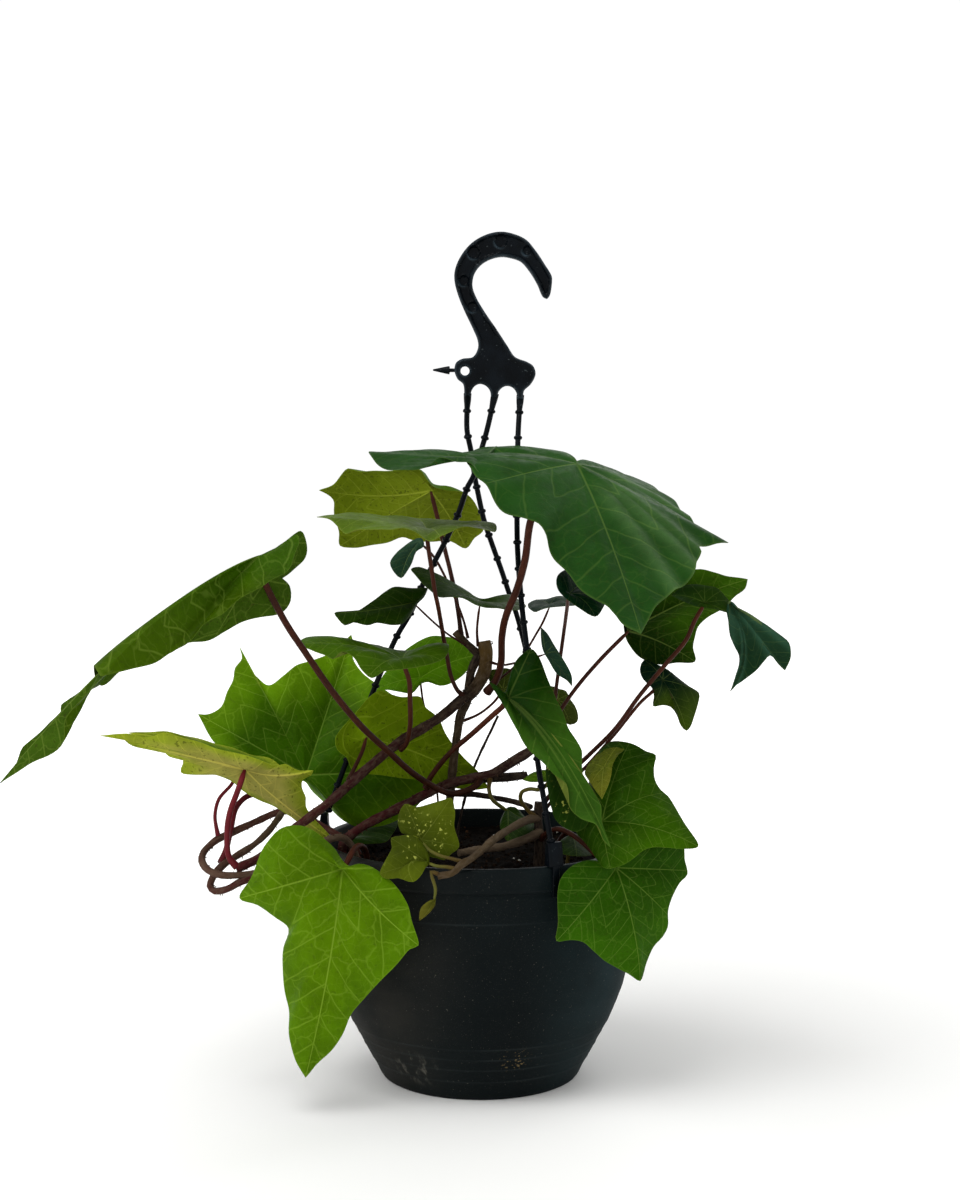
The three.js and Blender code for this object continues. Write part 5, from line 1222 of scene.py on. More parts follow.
def crumb_material(name, dark, light):
    """Soil, crumbs of bark, perlite or rootlets."""
    material, tree, skin, place = new_material(name, 0.95, 0.01)
    cloud = between(tree, grain(tree, place, 210.0, 5.0, 0.7), 0.35, 0.7)
    painted(tree, skin, mixed(tree, cloud, shade(dark), shade(light)))
    relief(tree, skin, grain(tree, place, 520.0, 6.0, 0.7), CRUMB_RELIEF)
    return material


# Pot and soil, in millimetres

POT_SEGMENTS = 160
RING_HEIGHTS = (-113, -120.5, -128, -136.7)
LINE_HEIGHT = -33.4
# What stands out of the wall: height above the rim plane, how far it stands out and its half width
WALL_LINES = [(height, 0.22, 0.8) for height in RING_HEIGHTS]
WALL_LINES += [(LINE_HEIGHT, 0.22, 0.9), (-19, 0.2, 1.2)]
WALL_START = 2.5
WALL_STEP = 0.75
SMOOTHING = np.array([1, 2, 3, 4, 3, 2, 1]) / 16


def pot_profile():
    """The closed profile of the pot, with its lip, thin raised lines and four faint rings."""
    radii, heights = np.array(OUTER_PROFILE, float).T
    fine = np.arange(heights[0] + WALL_START, heights[-1], WALL_STEP)
    outside = np.interp(fine, heights, radii)
    outside[3:-3] = np.convolve(outside, SMOOTHING, "valid")
    for height, out, width in WALL_LINES:
        outside += out * np.exp(-(((fine - height) / width) ** 2))
    return [*FOOT_PROFILE, *zip(outside, fine), *LIP_PROFILE, *INNER_PROFILE,
            (0, INNER_PROFILE[-1][1])]


SOIL_SEGMENTS = 120
SOIL_RINGS = 48
SOIL_RADIUS = 94.6
SOIL_GAP = 0.4
# Rises of the soil: height, size and layer of the noise
SOIL_RISES = [(2.2, 17, 3), (1.2, 6, 9)]
SOIL_SINK = 0.4
# The rises begin at LEVEL_RADIUS and are full LEVEL_BAND further in
LEVEL_RADIUS, LEVEL_BAND = 96, 6
# What lies on the soil: piece, material, how many times rarer than the crumbs, smallest and largest
# radius, length over radius, seed, dark and light colour
SOIL_GRAINS = [
    ("soil_crumbs", "crumbs", 1, 0.5, 1.5, 1.3, 3, 0x0B0806, 0x2A1F17),
    ("bark_chips", "bark_chips", 20, 1.2, 2.6, 0.4, 5, 0x1A100A, 0x3E2A1C),
    ("perlite", "perlite", 22, 0.5, 1.3, 0.9, 8, 0x8E8C84, 0xC8C6BE),
]


def soil_lift(points):
    """Small rises and hollows on top of the soil."""
    raised = np.zeros(len(points))
    for i, (x, y, z) in enumerate(points):
        if z > -SOIL_BELOW_RIM - 0.5:
            rise = sum(height * noise.noise(Vector((x, y, layer)) / size)
                       for height, size, layer in SOIL_RISES)
            raised[i] = fade(LEVEL_RADIUS - math.hypot(x, y), 0, LEVEL_BAND) * (rise - SOIL_SINK)
    return raised


def make_pot(settings):
    shell = Shell()
    shell.add(*turned(pot_profile(), POT_SEGMENTS))
    shell.piece("fine_pot", [pot_material(settings)], ["pot"], "pot", 50)


def make_soil(settings):
    side = [(r - SOIL_GAP, h + SOIL_GAP) for r, h in reversed(INNER_PROFILE)]
    top = [(r, -SOIL_BELOW_RIM) for r in np.linspace(SOIL_RADIUS, 2, SOIL_RINGS)]
    profile = [(0, side[0][1]), *side[:-1], (SOIL_RADIUS, -15), *top, (0, -SOIL_BELOW_RIM)]
    shell = Shell()
    shell.add(*turned(profile, SOIL_SEGMENTS, soil_lift))
    bed = shell.piece("fine_soil", [crumb_material("soil_bed", *SOIL_BED)], ["soil"], "soil", 80)
    patch = bpy.data.meshes.new("patch")
    flat = [face.vertices[:] for face in bed.data.polygons if face.normal.z > 0.7]
    patch.from_pydata([v.co[:] for v in bed.data.vertices], [], flat)
    tree = scatter_tree()
    for name, finish, rarer, smallest, largest, length, seed, dark, light in SOIL_GRAINS:
        grains = grow(patch, tree, density=float(settings.crumbs // rarer),
                      smallest=smallest * MM, largest=largest * MM, length=length, seed=seed,
                      finish=crumb_material(finish, dark, light))
        finish_mesh(grains, 80)
        carried(name, grains, ["soil"])


# Hanger

EYELET = (465, 371)
EYELET_RADIUS = 0.0028
# Round recesses of the hook: right, down and radius in steps of the view
DIMPLES = [(474, 253, 6.8), (501, 241.5, 7), (527, 251, 5), (464, 281, 5.6), (472.5, 307.5, 5.6)]
STEP = 0.0006
# Hook plate, in metres: its rounded edge, its channel with the distances from the edge where that
# begins and is full, its recesses with their raised lips, and the spacing of its points
EDGE_ROUNDING, EDGE_DROP = 0.0011, 0.0012
CHANNEL_DEPTH, CHANNEL_DEEPER = 0.00035, 0.00125
CHANNEL_FROM, CHANNEL_FULL = 0.0018, 0.0028
# The channel is deeper above this line: down in steps of the view, then metres up from there
PLAIN_DOWN = 352
DEEPER_FROM, DEEPER_FULL = -0.004, 0.012
DIMPLE_DEPTH, DIMPLE_SLOPE, DIMPLE_LIP = 0.0029, 0.0009, 0.0004
HOLE_SIDES = 32
OUTLINE_STEP, ROW_STEP = 0.0009, 0.00078
PLATE_CORNER = 105
EDGE_CLEARANCE = 0.0005
# Where the plate is painted pale as highlights: how much along its edge, and the way to the lit
# side of a recess
EDGE_HIGHLIGHT = 0.5
LIT_SIDE = (-0.6, -0.8)
# Pin beside the eyelet: places from the plate outwards, and its radius at each
PIN = [457, 370.3, 0, 450, 370.3, 0, 449.4, 370.3, 0, 447, 370.2, 0, 433, 370, 0]
PIN_RADII = [0.0011, 0.0012, 0.0026, 0.0024, 0.0005]


def inside_outline(points, outline):
    """Says which flat points lie inside a closed outline."""
    x, z = points[:, :1], points[:, 1:]
    after = np.roll(outline, -1, 0)
    crosses = (outline[:, 1] > z) != (after[:, 1] > z)
    rise = after[:, 1] - outline[:, 1]
    rise = np.where(np.abs(rise) < 1e-12, 1e-12, rise)
    at = outline[:, 0] + (z - outline[:, 1]) * (after[:, 0] - outline[:, 0]) / rise
    return (crosses & (x < at)).sum(1) % 2 == 1


def distance_to(points, outline):
    """Distance of flat points from a closed outline."""
    run = np.roll(outline, -1, 0) - outline
    off = points[:, None] - outline[None]
    share = np.clip((off * run).sum(2) / np.maximum((run * run).sum(1), 1e-18), 0, 1)
    return np.linalg.norm(off - share[:, :, None] * run, axis=2).min(1)


def flat_sight(right, down):
    """Like sight, but flat: metres sideways and up from the seat of the hook."""
    return sight((right, down, 0))[[0, 2]]


def dimple_distances(points):
    """Distance of flat points from the middle of each recess, with their way and its radius."""
    for right, down, radius in DIMPLES:
        away = points - flat_sight(right, down)
        yield np.linalg.norm(away, axis=1), away, radius * STEP


def plate_height(points, edge_distance, thickness):
    """Half thickness of the moulded plate: a rounded edge, a raised rim, a channel and recesses."""
    inward = 1 - np.minimum(edge_distance / EDGE_ROUNDING, 1)
    height = thickness / 2 - EDGE_DROP * (1 - np.sqrt(1 - inward**2))
    plain = flat_sight(0, PLAIN_DOWN)[1]
    deeper = fade(points[:, 1], plain + DEEPER_FROM, plain + DEEPER_FULL)
    channel = CHANNEL_DEPTH + CHANNEL_DEEPER * deeper
    height -= channel * fade(edge_distance, CHANNEL_FROM, CHANNEL_FULL)
    floor = thickness / 2 - DIMPLE_DEPTH
    for off, _, radius in dimple_distances(points):
        sunk = 1 - fade(off, radius - DIMPLE_SLOPE, radius)
        height = height * (1 - sunk) + np.minimum(height, floor) * sunk
        lip = np.exp(-(((off - radius - DIMPLE_LIP) / DIMPLE_LIP) ** 2))
        height += DIMPLE_LIP * lip * fade(edge_distance, 0.0005, 0.002)
    return height


def plate_highlight(points, edge_distance):
    """How pale the moulded plate is painted as highlights: along its edge, and on the lower left of
    each recess, where light from above falls.
    """
    highlight = EDGE_HIGHLIGHT * (1 - fade(edge_distance, 0.0003, 0.0017))
    for off, away, radius in dimple_distances(points):
        lip = np.exp(-(((off - radius - 0.0002) / 0.0005) ** 2))
        side = np.clip((away @ LIT_SIDE) / np.maximum(off, 1e-6), 0, 1) ** 2
        highlight = np.maximum(highlight, lip * side)
    return highlight


def plate_net(outline, hole):
    """Triangles that fill the outline round the hole: flat points and the corners of each, all
    turned the same way."""
    low, high = outline.min(0), outline.max(0)
    grid = np.array([(x + (k % 2) * OUTLINE_STEP / 2, z)
                     for k, z in enumerate(np.arange(low[1], high[1], ROW_STEP))
                     for x in np.arange(low[0], high[0], OUTLINE_STEP)])
    room = inside_outline(grid, outline) & ~inside_outline(grid, hole)
    for edge in (outline, hole):
        room &= distance_to(grid, edge) > EDGE_CLEARANCE
    loops, first = [], 0
    for edge in (outline, hole):
        loops += [(first + i, first + (i + 1) % len(edge)) for i in range(len(edge))]
        first += len(edge)
    flat = np.concatenate([outline, hole, grid[room]])
    found = delaunay_2d_cdt([Vector(p) for p in flat], loops, [], 0, 1e-9)
    flat, faces = np.array([tuple(p) for p in found[0]]), np.array(found[2])
    middles = flat[faces].mean(1)
    faces = faces[inside_outline(middles, outline) & ~inside_outline(middles, hole)]
    a, b, c = flat[faces[:, 0]], flat[faces[:, 1]], flat[faces[:, 2]]
    clockwise = ((b - a)[:, 0] * (c - a)[:, 1] - (b - a)[:, 1] * (c - a)[:, 0]) < 0
    faces[clockwise] = faces[clockwise][:, ::-1]
    return flat, faces


def make_hook(settings):
    corners = np.array([flat_sight(*corner) for corner in HOOK_OUTLINE])
    outline, _ = smooth_path(corners, OUTLINE_STEP, True, sharp_corners(corners, PLATE_CORNER))
    turn = 2 * np.pi * np.arange(HOLE_SIDES) / HOLE_SIDES
    hole = flat_sight(*EYELET) + EYELET_RADIUS * np.stack([np.cos(turn), np.sin(turn)], 1)
    flat, faces = plate_net(outline, hole)
    edge_distance = np.minimum(distance_to(flat, outline), distance_to(flat, hole))
    height = plate_height(flat, edge_distance, settings.thickness)
    sides = [np.stack([flat[:, 0], out * height, flat[:, 1]], 1) for out in (-1, 1)]
    behind = len(flat)
    skin = [tuple(f) for f in faces] + [tuple(f[::-1] + behind) for f in faces]
    edges = {(f[i], f[(i + 1) % 3]) for f in faces.tolist() for i in range(3)}
    walls = [(j, i, i + behind, j + behind) for i, j in edges if (j, i) not in edges]
    shell = Shell()
    # Painted highlights of the plate, carried in lay
    highlight = np.tile(plate_highlight(flat, edge_distance), 2)[:, None] * (1.0, 0.0, 0.0)
    shell.add(np.concatenate(sides), skin + walls, lay=highlight)
    finish = hanger_material(settings)
    shell.add(*corners_of(grow(path_mesh(sights(PIN), PIN_RADII), stem_tree(), sides=16,
                               lump_height=0.0, lump_size=0.01, finish=finish)))
    shell.piece("fine_hook", [finish], ["hook_plate"], "hanger", 42)


# How far a strand reaches up into its finger of the hook, and where its first knob is
STRAND_INSIDE = 0.004
FIRST_KNOB = STRAND_INSIDE + 0.0072
STRAND_STEP = 0.003
STRAND_FLAT_OVER = 60


def make_strands(settings):
    tree, finish = strand_tree(), hanger_material(settings)
    for name, places in STRANDS.items():
        points = sights(places)
        points = np.concatenate([[points[0] - unit(points[1] - points[0]) * STRAND_INSIDE], points])
        line, _ = smooth_path(points, STRAND_STEP)
        mesh = grow(path_mesh(line), tree, radius=settings.strand_radius,
                    knob_radius=settings.knob_radius, knob_spacing=settings.knob_spacing,
                    first_knob=FIRST_KNOB, finish=finish)
        finish_mesh(mesh, STRAND_FLAT_OVER)
        carried("fine_" + name, mesh, [name])


# Clips: profiles are [radius, height above the rim plane] in millimetres
CLIP_WIDTH = 9.5
TONGUE_WIDTH = 4.4
FRONT_CLIP_ANGLE = -64
CLIP_BEVEL = 0.55
CLIP_PROFILE = [
    (96.2, 0.3), (96.8, 12.5), (98, 14.5), (100.8, 14.5), (102.6, 3), (102.8, 0.3),
]
TONGUE_PROFILE = [(100.3, 1), (102.8, 1), (102.2, -18), (100.3, -18)]


def bevelled_prism(profile, width):
    """Points and faces of a profile pushed out to both sides of the plane y = 0, with round
    edges."""
    shape = bmesh.new()
    corners = [shape.verts.new((r * MM, -width * MM / 2, h * MM)) for r, h in profile]
    face = shape.faces.new(corners)
    pushed = bmesh.ops.extrude_face_region(shape, geom=[face])["geom"]
    moved = [v for v in pushed if isinstance(v, bmesh.types.BMVert)]
    bmesh.ops.translate(shape, verts=moved, vec=(0, width * MM, 0))
    bmesh.ops.recalc_face_normals(shape, faces=shape.faces)
    bmesh.ops.bevel(shape, geom=shape.edges[:], offset=CLIP_BEVEL * MM, segments=3,
                    profile=0.5, affect="EDGES", clamp_overlap=True)
    shape.verts.index_update()
    points = np.array([v.co[:] for v in shape.verts])
    faces = [[v.index for v in f.verts] for f in shape.faces]
    shape.free()
    # The bevel's faces come in another order each run, so they are put in the order of their
    # corners, each from its first one
    firsts = [face.index(min(face)) for face in faces]
    return points, sorted(tuple(f[first:] + f[:first]) for f, first in zip(faces, firsts))


def make_clips(settings):
    finish = hanger_material(settings)
    for name, turn in (("clip_front", 0), ("clip_back", 120), ("clip_left", 240)):
        shell = Shell()
        place = np.array(Matrix.Rotation(math.radians(FRONT_CLIP_ANGLE + turn), 3, "Z"))
        for profile, width in ((CLIP_PROFILE, CLIP_WIDTH), (TONGUE_PROFILE, TONGUE_WIDTH)):
            points, faces = bevelled_prism(profile, width)
            shell.add(points @ place.T + RIM_MIDDLE, faces)
        shell.piece("fine_" + name, [finish], [name], "hanger", 35)


# Plant

# Stems and stalks, in metres: spacing of the rings, size and height of the lumps of the skin
STEM_STEP, STALK_STEP = 0.0025, 0.0022
LUMP_SIZE = 0.006
BARK_LUMPS, STALK_LUMPS = 0.0011, 0.0002
BARK_SIDES, STALK_SIDES = 16, 10
# How a stem swells and narrows: radians in a ring, and share of the radius
SWELLS = [(0.9, 0.04), (0.37, 0.05)]
HAIRY_STEMS = ("main_stem", "second_stem")


def add_stem(shell, tree, line, radii, colours, finish, sides, lumps):
    """Adds a stem along a line of points to a shell, coloured from its start to its end."""
    mesh = grow(path_mesh(line, radii), tree, sides=sides, lump_height=lumps, lump_size=LUMP_SIZE)
    start, end = linear(colours[0]), linear(colours[1])
    shell.add(*corners_of(mesh), finish, hue=start + values_of(mesh, "share") * (end - start),
              lay=values_of(mesh, "along") / MM * (1.0, 0.0, 0.0), net=values_of(mesh, "around", 3))
    bpy.data.meshes.remove(mesh)


def make_stems(plant):
    tree = stem_tree()
    bark = stem_material("bark", 0.4, 0.85, 0.001, BARK_FIBRE)
    hair_tree = scatter_tree()
    hair_finish = crumb_material("rootlets", *ROOTLETS)
    for name, branches in STEMS.items():
        shell = Shell()
        for places, first, last, *colours in branches:
            line, _ = smooth_path(sights(places), STEM_STEP)
            rings = np.arange(len(line))
            wave = sum(np.sin(rings * turn) * swell for turn, swell in SWELLS)
            radii = np.linspace(first, last, len(line)) * MM * (1 + wave)
            add_stem(shell, tree, line, radii, colours, 0, BARK_SIDES, BARK_LUMPS)
        piece = shell.piece("fine_" + name, [bark], [name], "bark", 70)
        if name in HAIRY_STEMS:
            hairs = grow(piece.data, hair_tree, density=float(plant.rootlets), smallest=0.00022,
                         largest=0.0004, length=5.0, seed=4, finish=hair_finish)
            carried("rootlets_" + name, hairs, [name])


# Main veins: how many, how far apart at least, the turn to each side in which a lobe's tip reaches
# furthest, the gap that takes one more, and the least reach of a vein as a share of the leaf's
MOST_VEINS = 7
LEAST_APART, STANDS_OUT, WIDE_GAP = (math.radians(turn) for turn in (32, 13, 72))
LEAST_REACH = 0.3


def turn_from(angle, start, full):
    """How far angles are from a start, the short way round a full turn."""
    return np.abs((angle - start + full / 2) % full - full / 2)


def vein_spokes(angle, full, reach, tip):
    """Numbers of the spokes that carry a main vein: the tips of the lobes, and one in each wide
    gap."""
    chosen = [tip]
    least = LEAST_REACH * reach.max()
    for i in np.argsort(-reach):
        near = turn_from(angle, angle[i], full) < STANDS_OUT
        if (len(chosen) < MOST_VEINS and reach[i] >= 0.999 * reach[near].max()
                and reach[i] > least
                and min(turn_from(angle[i], angle[j], full) for j in chosen) > LEAST_APART):
            chosen.append(int(i))
    chosen.sort(key=lambda i: angle[i])
    for i, j in zip(list(chosen), chosen[1:] + chosen[:1]):
        gap = (angle[j] - angle[i]) % full
        if gap > WIDE_GAP:
            k = int(np.argmin(turn_from(angle, (angle[i] + gap / 2) % full, full)))
            if reach[k] > least:
                chosen.append(k)
    return chosen


# Leaf blades, in metres: spacing of the points along the margin and of the rings, width of the main
# veins, lengths of the waves of the margin, and how far from a vein the quilting is full
MARGIN_STEP = 0.0026
RING_SPACING = 0.0034
LEAST_RINGS, MOST_RINGS = 8, 28
VEIN_WIDTH = 0.00072
LONG_WAVE, SHORT_WAVE = 0.046, 0.024
QUILT_REACH = 0.005
# Shares of a blade's size: distance between side veins, half width of a crease, size of the cells
# of the net of veins
SIDE_VEINS, CREASE_WIDTH, VEIN_CELL = 0.14, 0.035, 0.16
# Corners of the margin narrower than this many degrees stay sharp
MARGIN_POINT = 78
# How far round the margin a blade is evened out, how high a crease is in metres and how much of
# its painted sheen colour shows
SOFTEN = 0.035
CREASE_HEIGHT = 0.0014
CREASE_SHEEN = 0.3
# The least turn of all spokes of a blade together
LEAST_TURN = math.radians(150)
QUARTER = math.pi / 2


def add_blade(shell, leaf, number, plant):
    """Adds a leaf's blade: rings of points round the joint, bowed as in the CAD source, with
    quilting between the veins and a waving margin. Returns the direction that its top faces."""
    joint = sight(leaf["joint"])
    corners = sights(leaf["edge"])
    count = len(corners)
    tip_corner, creases = leaf["tip"], np.array(leaf.get("creases", ()))
    facing = unit(np.cross(np.roll(corners - joint, -1, 0), corners - joint).sum(0))
    if facing @ (EYE - joint) < 0:
        corners, facing = corners[::-1], -facing
        tip_corner, creases = count - 1 - tip_corner, count - 1 - creases
    margin, place = smooth_path(corners, MARGIN_STEP, True, sharp_corners(corners, MARGIN_POINT))
    spokes = margin - joint
    reach = np.linalg.norm(spokes, axis=1)
    after = np.roll(spokes, -1, 0)
    step = np.arccos(np.clip((unit(spokes) * unit(after)).sum(1), -1, 1))
    step *= np.sign((np.cross(after, spokes) * facing).sum(1))
    angle = np.concatenate([[0], np.cumsum(step)[:-1]])
    full = max(step.sum(), LEAST_TURN)
    tip = int(np.argmin(np.abs(place - tip_corner)))
    size = float(reach.max())

    def off_spoke(spoke):
        return np.minimum(turn_from(angle, angle[spoke], full), QUARTER)

    off = np.min([off_spoke(spoke) for spoke in vein_spokes(angle, full, reach, tip)], 0)
    rings = int(np.clip(round(size / RING_SPACING), LEAST_RINGS, MOST_RINGS))
    share = (np.arange(1, rings + 1) / rings)[:, None]
    across, along = share * reach * np.sin(off), share * reach * np.cos(off)
    side_veins = (along - 0.85 * across) / max(0.006, SIDE_VEINS * size)
    creased = np.zeros(across.shape)
    for corner in creases:
        beside = share * reach * np.sin(off_spoke(int(np.argmin(np.abs(place - corner)))))
        creased = np.maximum(creased, np.exp(-((beside / (CREASE_WIDTH * size)) ** 2)))
    creased = creased * fade(share, 0.1, 0.4)
    width = VEIN_WIDTH * (1 - 0.65 * share) * np.clip(size / 0.09, 0.5, 1.1)

    turn = np.abs(place - tip_corner)
    turn = np.minimum(turn, count - turn) / (count / 2)
    follow = np.clip(1 - 1.8 * turn, 0, 1) ** 2
    bow = sight(leaf["rib"]) - (joint + corners[tip_corner]) / 2
    arch = (4 * share * (1 - share))[:, :, None]
    sheet = joint + share[:, :, None] * spokes
    sheet = sheet + arch * follow[None, :, None] * bow + arch * leaf["dome"] * MM * facing

    climb = (sheet - joint) @ facing
    waves = np.arange(len(angle) // 2 + 1)
    soften = np.exp(-0.5 * (2 * np.pi * SOFTEN * waves * (1 - share**2)) ** 2)
    softer = np.fft.irfft(np.fft.rfft(climb, axis=1) * soften, len(angle), axis=1)
    sheet = sheet + (softer - climb)[:, :, None] * facing

    shows_top = not leaf.get("under")
    top = facing if shows_top else -facing
    scale = float(np.clip(size / 0.08, 0.3, 1.2))
    swell = 1 - np.exp(-((across / QUILT_REACH) ** 2))
    ribs = 2 * np.abs(side_veins - np.round(side_veins))
    lift = plant.quilting * scale * swell * (0.7 + 0.6 * np.sqrt(ribs)) * (1 - share**6)
    length = length_along(margin)
    perimeter = length[-1] + MARGIN_STEP
    way = 2 * np.pi * length / perimeter
    wave = (np.sin(round(perimeter / LONG_WAVE) * way + number)
            + 0.5 * np.sin(round(perimeter / SHORT_WAVE) * way + 2.3 * number))
    lift = lift + CREASE_HEIGHT * creased
    lift = lift + plant.ripple * scale * wave * share**3 * fade(reach, 0.004, 0.025)
    sheet = sheet + lift[:, :, None] * top

    tangent = np.roll(sheet, -1, 1) - np.roll(sheet, 1, 1)
    centre = np.broadcast_to(joint, (1,) + sheet.shape[1:])
    normal = np.cross(tangent, np.gradient(np.concatenate([centre, sheet]), axis=0)[1:])
    flat = np.linalg.norm(normal, axis=2) < 1e-12
    normal[flat] = facing
    normal = unit(normal)
    half = (plant.blade / 2 * (1 - 0.45 * share**2))[:, :, None]
    around = len(margin)
    middle = unit(normal[0].sum(0)) * plant.blade / 2
    points = np.concatenate([
        [joint + middle], (sheet + normal * half).reshape(-1, 3),
        [joint - middle], (sheet - normal * half).reshape(-1, 3),
    ])
    under = 1 + rings * around
    front = [(0, 1 + (i + 1) % around, 1 + i) for i in range(around)]
    front += ring_faces(rings, around, 1).tolist()
    back = [tuple(under + i for i in reversed(face)) for face in front]
    outer = 1 + (rings - 1) * around
    strip = [(outer + i, outer + j, under + outer + j, under + outer + i)
             for i, j in zip(range(around), [*range(1, around), 0])]

    look = LEAF_LOOKS[leaf["look"]]
    by_joint, by_tip, below, below_tip = (linear(look[i]) for i in (0, 1, 3, -1))
    to_tip = fade(share * np.cos(off_spoke(tip)), 0.1, 0.9)[:, :, None]
    tints = []
    # Paler margins: on the fern look this is painted light shining through the blade
    if leaf["look"] in PALE_AND_BACKLIT_MARGINS:
        tints.append((fade(share, 0.55, 1.0)[:, :, None], PALE_AND_BACKLIT_MARGINS[leaf["look"]]))
    # A crease is also painted towards its sheen colour, a painted highlight along the crease
    if len(creases):
        tints.append((CREASE_SHEEN * creased[:, :, None], leaf["crease_sheen_colour"]))
    hues = []
    for start, end in ((by_joint, by_tip), (below, below_tip)):
        blend = start + to_tip * (end - start)
        for amount, tint in tints:
            blend = blend + amount * (linear(tint) - blend)
        hues.append(np.concatenate([[start], blend.reshape(-1, 3)]))
    hue = np.concatenate(hues if shows_top else hues[::-1])
    lay = np.stack([across / width, side_veins, np.broadcast_to(share, across.shape)], -1)
    ahead_way = unit(spokes[tip] - (spokes[tip] @ facing) * facing)
    cell = np.clip(VEIN_CELL * size, 0.004, 0.018)
    ways = (ahead_way, np.cross(facing, ahead_way))
    net = np.stack([*((sheet - joint) @ way / cell for way in ways),
                    np.full(across.shape, look[2])], -1)
    lay, net = (np.concatenate([[[0, 0, 0]], rows.reshape(-1, 3)] * 2) for rows in (lay, net))
    front_finish, back_finish = (0, 1) if shows_top else (1, 0)
    finish = [front_finish] * len(front) + [back_finish] * len(back) + [0] * len(strip)
    shell.add(points, front + back + strip, finish, hue=hue, lay=lay, net=net)
    return top


# A stalk's radius, as a share of the CAD's, and as a share of that where it leaves the joint
STALK_SHARE = 0.9
STALK_TOP, STALK_GAIN = 0.55, 0.45


def add_stalk(shell, leaf, tree, top):
    """Adds a leaf's stalk, which runs from under the joint to its stem and is thicker there."""
    places = sights([*leaf["joint"], *leaf["stalk"]])
    radius = STALK_SHARE * leaf["radius"] * MM
    places[0] -= top * radius * 0.5
    line, _ = smooth_path(places, STALK_STEP)
    length = length_along(line)
    radii = radius * (STALK_TOP + STALK_GAIN * fade(length, 0, 0.006))
    radii *= 1 + 0.35 * np.exp(-(((length[-1] - length) / 0.005) ** 2))
    colours = STALK_COLOURS[leaf.get("stalk_look", "maroon")]
    add_stem(shell, tree, line, radii, colours, 2, STALK_SIDES, STALK_LUMPS)


def make_leaves(plant):
    tree = stem_tree()
    top = leaf_material("leaf_top", plant, 0.5, 0.025, 0.7, -0.5, specks=0.2)
    fleck = leaf_material("leaf_flecked", plant, 0.5, 0.025, 0.5, -0.5, flecks=0.75)
    under = leaf_material("leaf_underside", plant, 0.65, 0.015, 0.75, 0.6, specks=0.5)
    stalk = stem_material("stalk", 0.2, 0.5, 0.0003, STALK_FIBRE)
    for number, leaf in enumerate(LEAVES):
        name, shell = leaf["name"], Shell()
        facing = add_blade(shell, leaf, number, plant)
        if "lobe" in leaf:
            add_blade(shell, leaf["lobe"], number, plant)
        add_stalk(shell, leaf, tree, facing)
        upper = fleck if leaf["look"] in FLECKED_LOOKS else top
        shell.piece("fine_" + name, [upper, under, stalk], [name],
                    leaf.get("slot", "leaf_dark"), 70)


# Stage

FLOOR_SIZE = 8.0
SENSOR_WIDTH = 36.0
# Soft lights: name, place from the middle of the pot's rim, size in metres and power in watts
LAMPS = [
    ("sky_lamp", (-0.6, -0.8, 1.8), 1.3, 26.0),
    ("left_lamp", (-1.9, -0.5, 0.7), 1.3, 5.0),
    ("back_lamp", (0.7, 1.6, 1.3), 1.4, 10.0),
]


def make_stage():
    """Pale floor, soft lights and the camera of the photograph."""
    ground = RIM_HEIGHT - POT_HEIGHT * MM
    mesh = bpy.data.meshes.new("floor")
    half = FLOOR_SIZE / 2
    corners = [(-half, -half), (half, -half), (half, half), (-half, half)]
    mesh.from_pydata([(*corner, ground) for corner in corners], [], [(0, 1, 2, 3)])
    floor = bpy.data.objects.new("floor", mesh)
    bpy.context.scene.collection.objects.link(floor)
    finish, tree, skin, place = new_material("floor_paint", 0.85, 0.2)
    painted(tree, skin, mixed(tree, grain(tree, place, 6.0), *map(shade, FLOOR_PAINT)))
    away = length_of(tree, vector_maths(tree, "SUBTRACT", place, RIM_MIDDLE.tolist()))
    skin.inputs["Emission Color"].default_value = WHITE
    glow = between(tree, away, 0.25, 1.2, 0.05, 0.6)
    tree.links.new(glow, skin.inputs["Emission Strength"])
    mesh.materials.append(finish)

    scene = bpy.context.scene
    scene.view_settings.view_transform = "Standard"
    world = bpy.data.worlds.new("soft_sky")
    world.use_nodes = True
    sky = world.node_tree
    heading = add(sky, "ShaderNodeTexCoord").outputs["Generated"]
    climb = add(sky, "ShaderNodeSeparateXYZ", {0: heading}).outputs[2]
    light = sky.nodes["Background"].inputs
    light["Color"].default_value = WHITE
    sky.links.new(between(sky, climb, 0.25, 0.7, 1.02, 0.5), light["Strength"])
    scene.world = world
    for name, place, size, power in LAMPS:
        lamp = bpy.data.lights.new(name, "AREA")
        lamp.size, lamp.energy = size, power
        stand = bpy.data.objects.new(name, lamp)
        scene.collection.objects.link(stand)
        stand.location = Vector(RIM_MIDDLE) + Vector(place)
        aim = Vector(RIM_MIDDLE) - stand.location
        stand.rotation_euler = aim.to_track_quat("-Z", "Y").to_euler()

    lens = bpy.data.cameras.new("camera")
    lens.sensor_width = SENSOR_WIDTH
    lens.lens = lens.sensor_width * VIEW_LENGTH / VIEW_HEIGHT
    eye = bpy.data.objects.new("camera", lens)
    scene.collection.objects.link(eye)
    eye.location = Vector(RIM_MIDDLE) + Vector((0, -EYE_DISTANCE, EYE_ABOVE_RIM))
    eye.rotation_euler = (math.pi / 2 - EYE_TILT, 0, 0)
    scene.camera = eye


# Add-on


class IVY_OT_stage(bpy.types.Operator):
    """Sets up the floor, the lights and the camera"""
    bl_idname = "ivy.make_stage"
    bl_label = "Stage"

    def execute(self, context):
        make_stage()
        return {"FINISHED"}


class IVY_OT_pot(bpy.types.Operator):
    """Turns the pot with its lip, raised lines and rings"""
    bl_idname = "ivy.make_pot"
    bl_label = "Pot"

    def execute(self, context):
        make_pot(context.scene.ivy_pot)
        return {"FINISHED"}


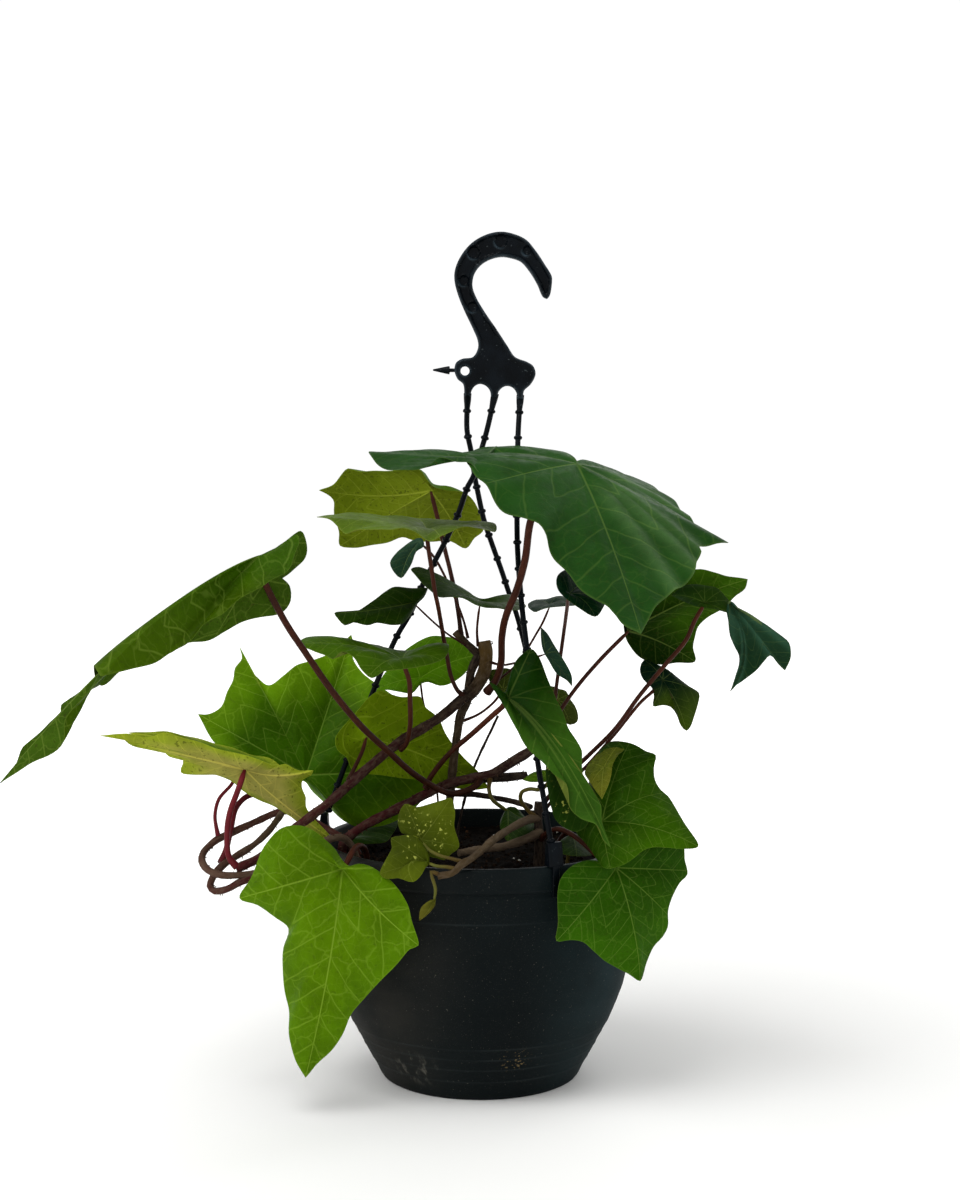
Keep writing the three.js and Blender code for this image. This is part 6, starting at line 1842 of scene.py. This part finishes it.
class IVY_OT_soil(bpy.types.Operator):
    """Fills the pot with soil, bark chips and perlite"""
    bl_idname = "ivy.make_soil"
    bl_label = "Soil"

    def execute(self, context):
        make_soil(context.scene.ivy_pot)
        return {"FINISHED"}


class IVY_OT_hook(bpy.types.Operator):
    """Moulds the hook plate with its channel, recesses and pin"""
    bl_idname = "ivy.make_hook"
    bl_label = "Hook"

    def execute(self, context):
        make_hook(context.scene.ivy_hanger)
        return {"FINISHED"}


class IVY_OT_strands(bpy.types.Operator):
    """Hangs the three knobbed strands"""
    bl_idname = "ivy.make_strands"
    bl_label = "Strands"

    def execute(self, context):
        make_strands(context.scene.ivy_hanger)
        return {"FINISHED"}


class IVY_OT_clips(bpy.types.Operator):
    """Sets the three clips on the rim"""
    bl_idname = "ivy.make_clips"
    bl_label = "Clips"

    def execute(self, context):
        make_clips(context.scene.ivy_hanger)
        return {"FINISHED"}


class IVY_OT_stems(bpy.types.Operator):
    """Grows the woody stems and their rootlets"""
    bl_idname = "ivy.make_stems"
    bl_label = "Stems"

    def execute(self, context):
        make_stems(context.scene.ivy_plant)
        return {"FINISHED"}


class IVY_OT_leaves(bpy.types.Operator):
    """Grows the leaves on their stalks"""
    bl_idname = "ivy.make_leaves"
    bl_label = "Leaves"

    def execute(self, context):
        make_leaves(context.scene.ivy_plant)
        return {"FINISHED"}


OPERATORS = [
    IVY_OT_stage, IVY_OT_pot, IVY_OT_soil, IVY_OT_hook, IVY_OT_strands, IVY_OT_clips, IVY_OT_stems,
    IVY_OT_leaves,
]
SETTINGS = {"ivy_pot": PotSettings, "ivy_hanger": HangerSettings, "ivy_plant": PlantSettings}


class IVY_PT_panel(bpy.types.Panel):
    """Lists the pieces of the potted ivy"""
    bl_idname = "IVY_PT_panel"
    bl_label = "Potted canary island ivy"
    bl_space_type = "VIEW_3D"
    bl_region_type = "UI"
    bl_category = "Ivy"

    def draw(self, context):
        for operator in OPERATORS:
            self.layout.operator(operator.bl_idname)
        for name, group in SETTINGS.items():
            for setting in group.__annotations__:
                self.layout.prop(getattr(context.scene, name), setting)


CLASSES = [*SETTINGS.values(), *OPERATORS, IVY_PT_panel]


def register():
    for kind in CLASSES:
        bpy.utils.register_class(kind)
    for name, group in SETTINGS.items():
        setattr(bpy.types.Scene, name, PointerProperty(type=group))


def unregister():
    for name in SETTINGS:
        delattr(bpy.types.Scene, name)
    for kind in reversed(CLASSES):
        bpy.utils.unregister_class(kind)


def main():
    register()
    for operator in OPERATORS:
        group, name = operator.bl_idname.split(".")
        getattr(getattr(bpy.ops, group), name)()
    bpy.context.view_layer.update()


if __name__ == "__main__":
    main()
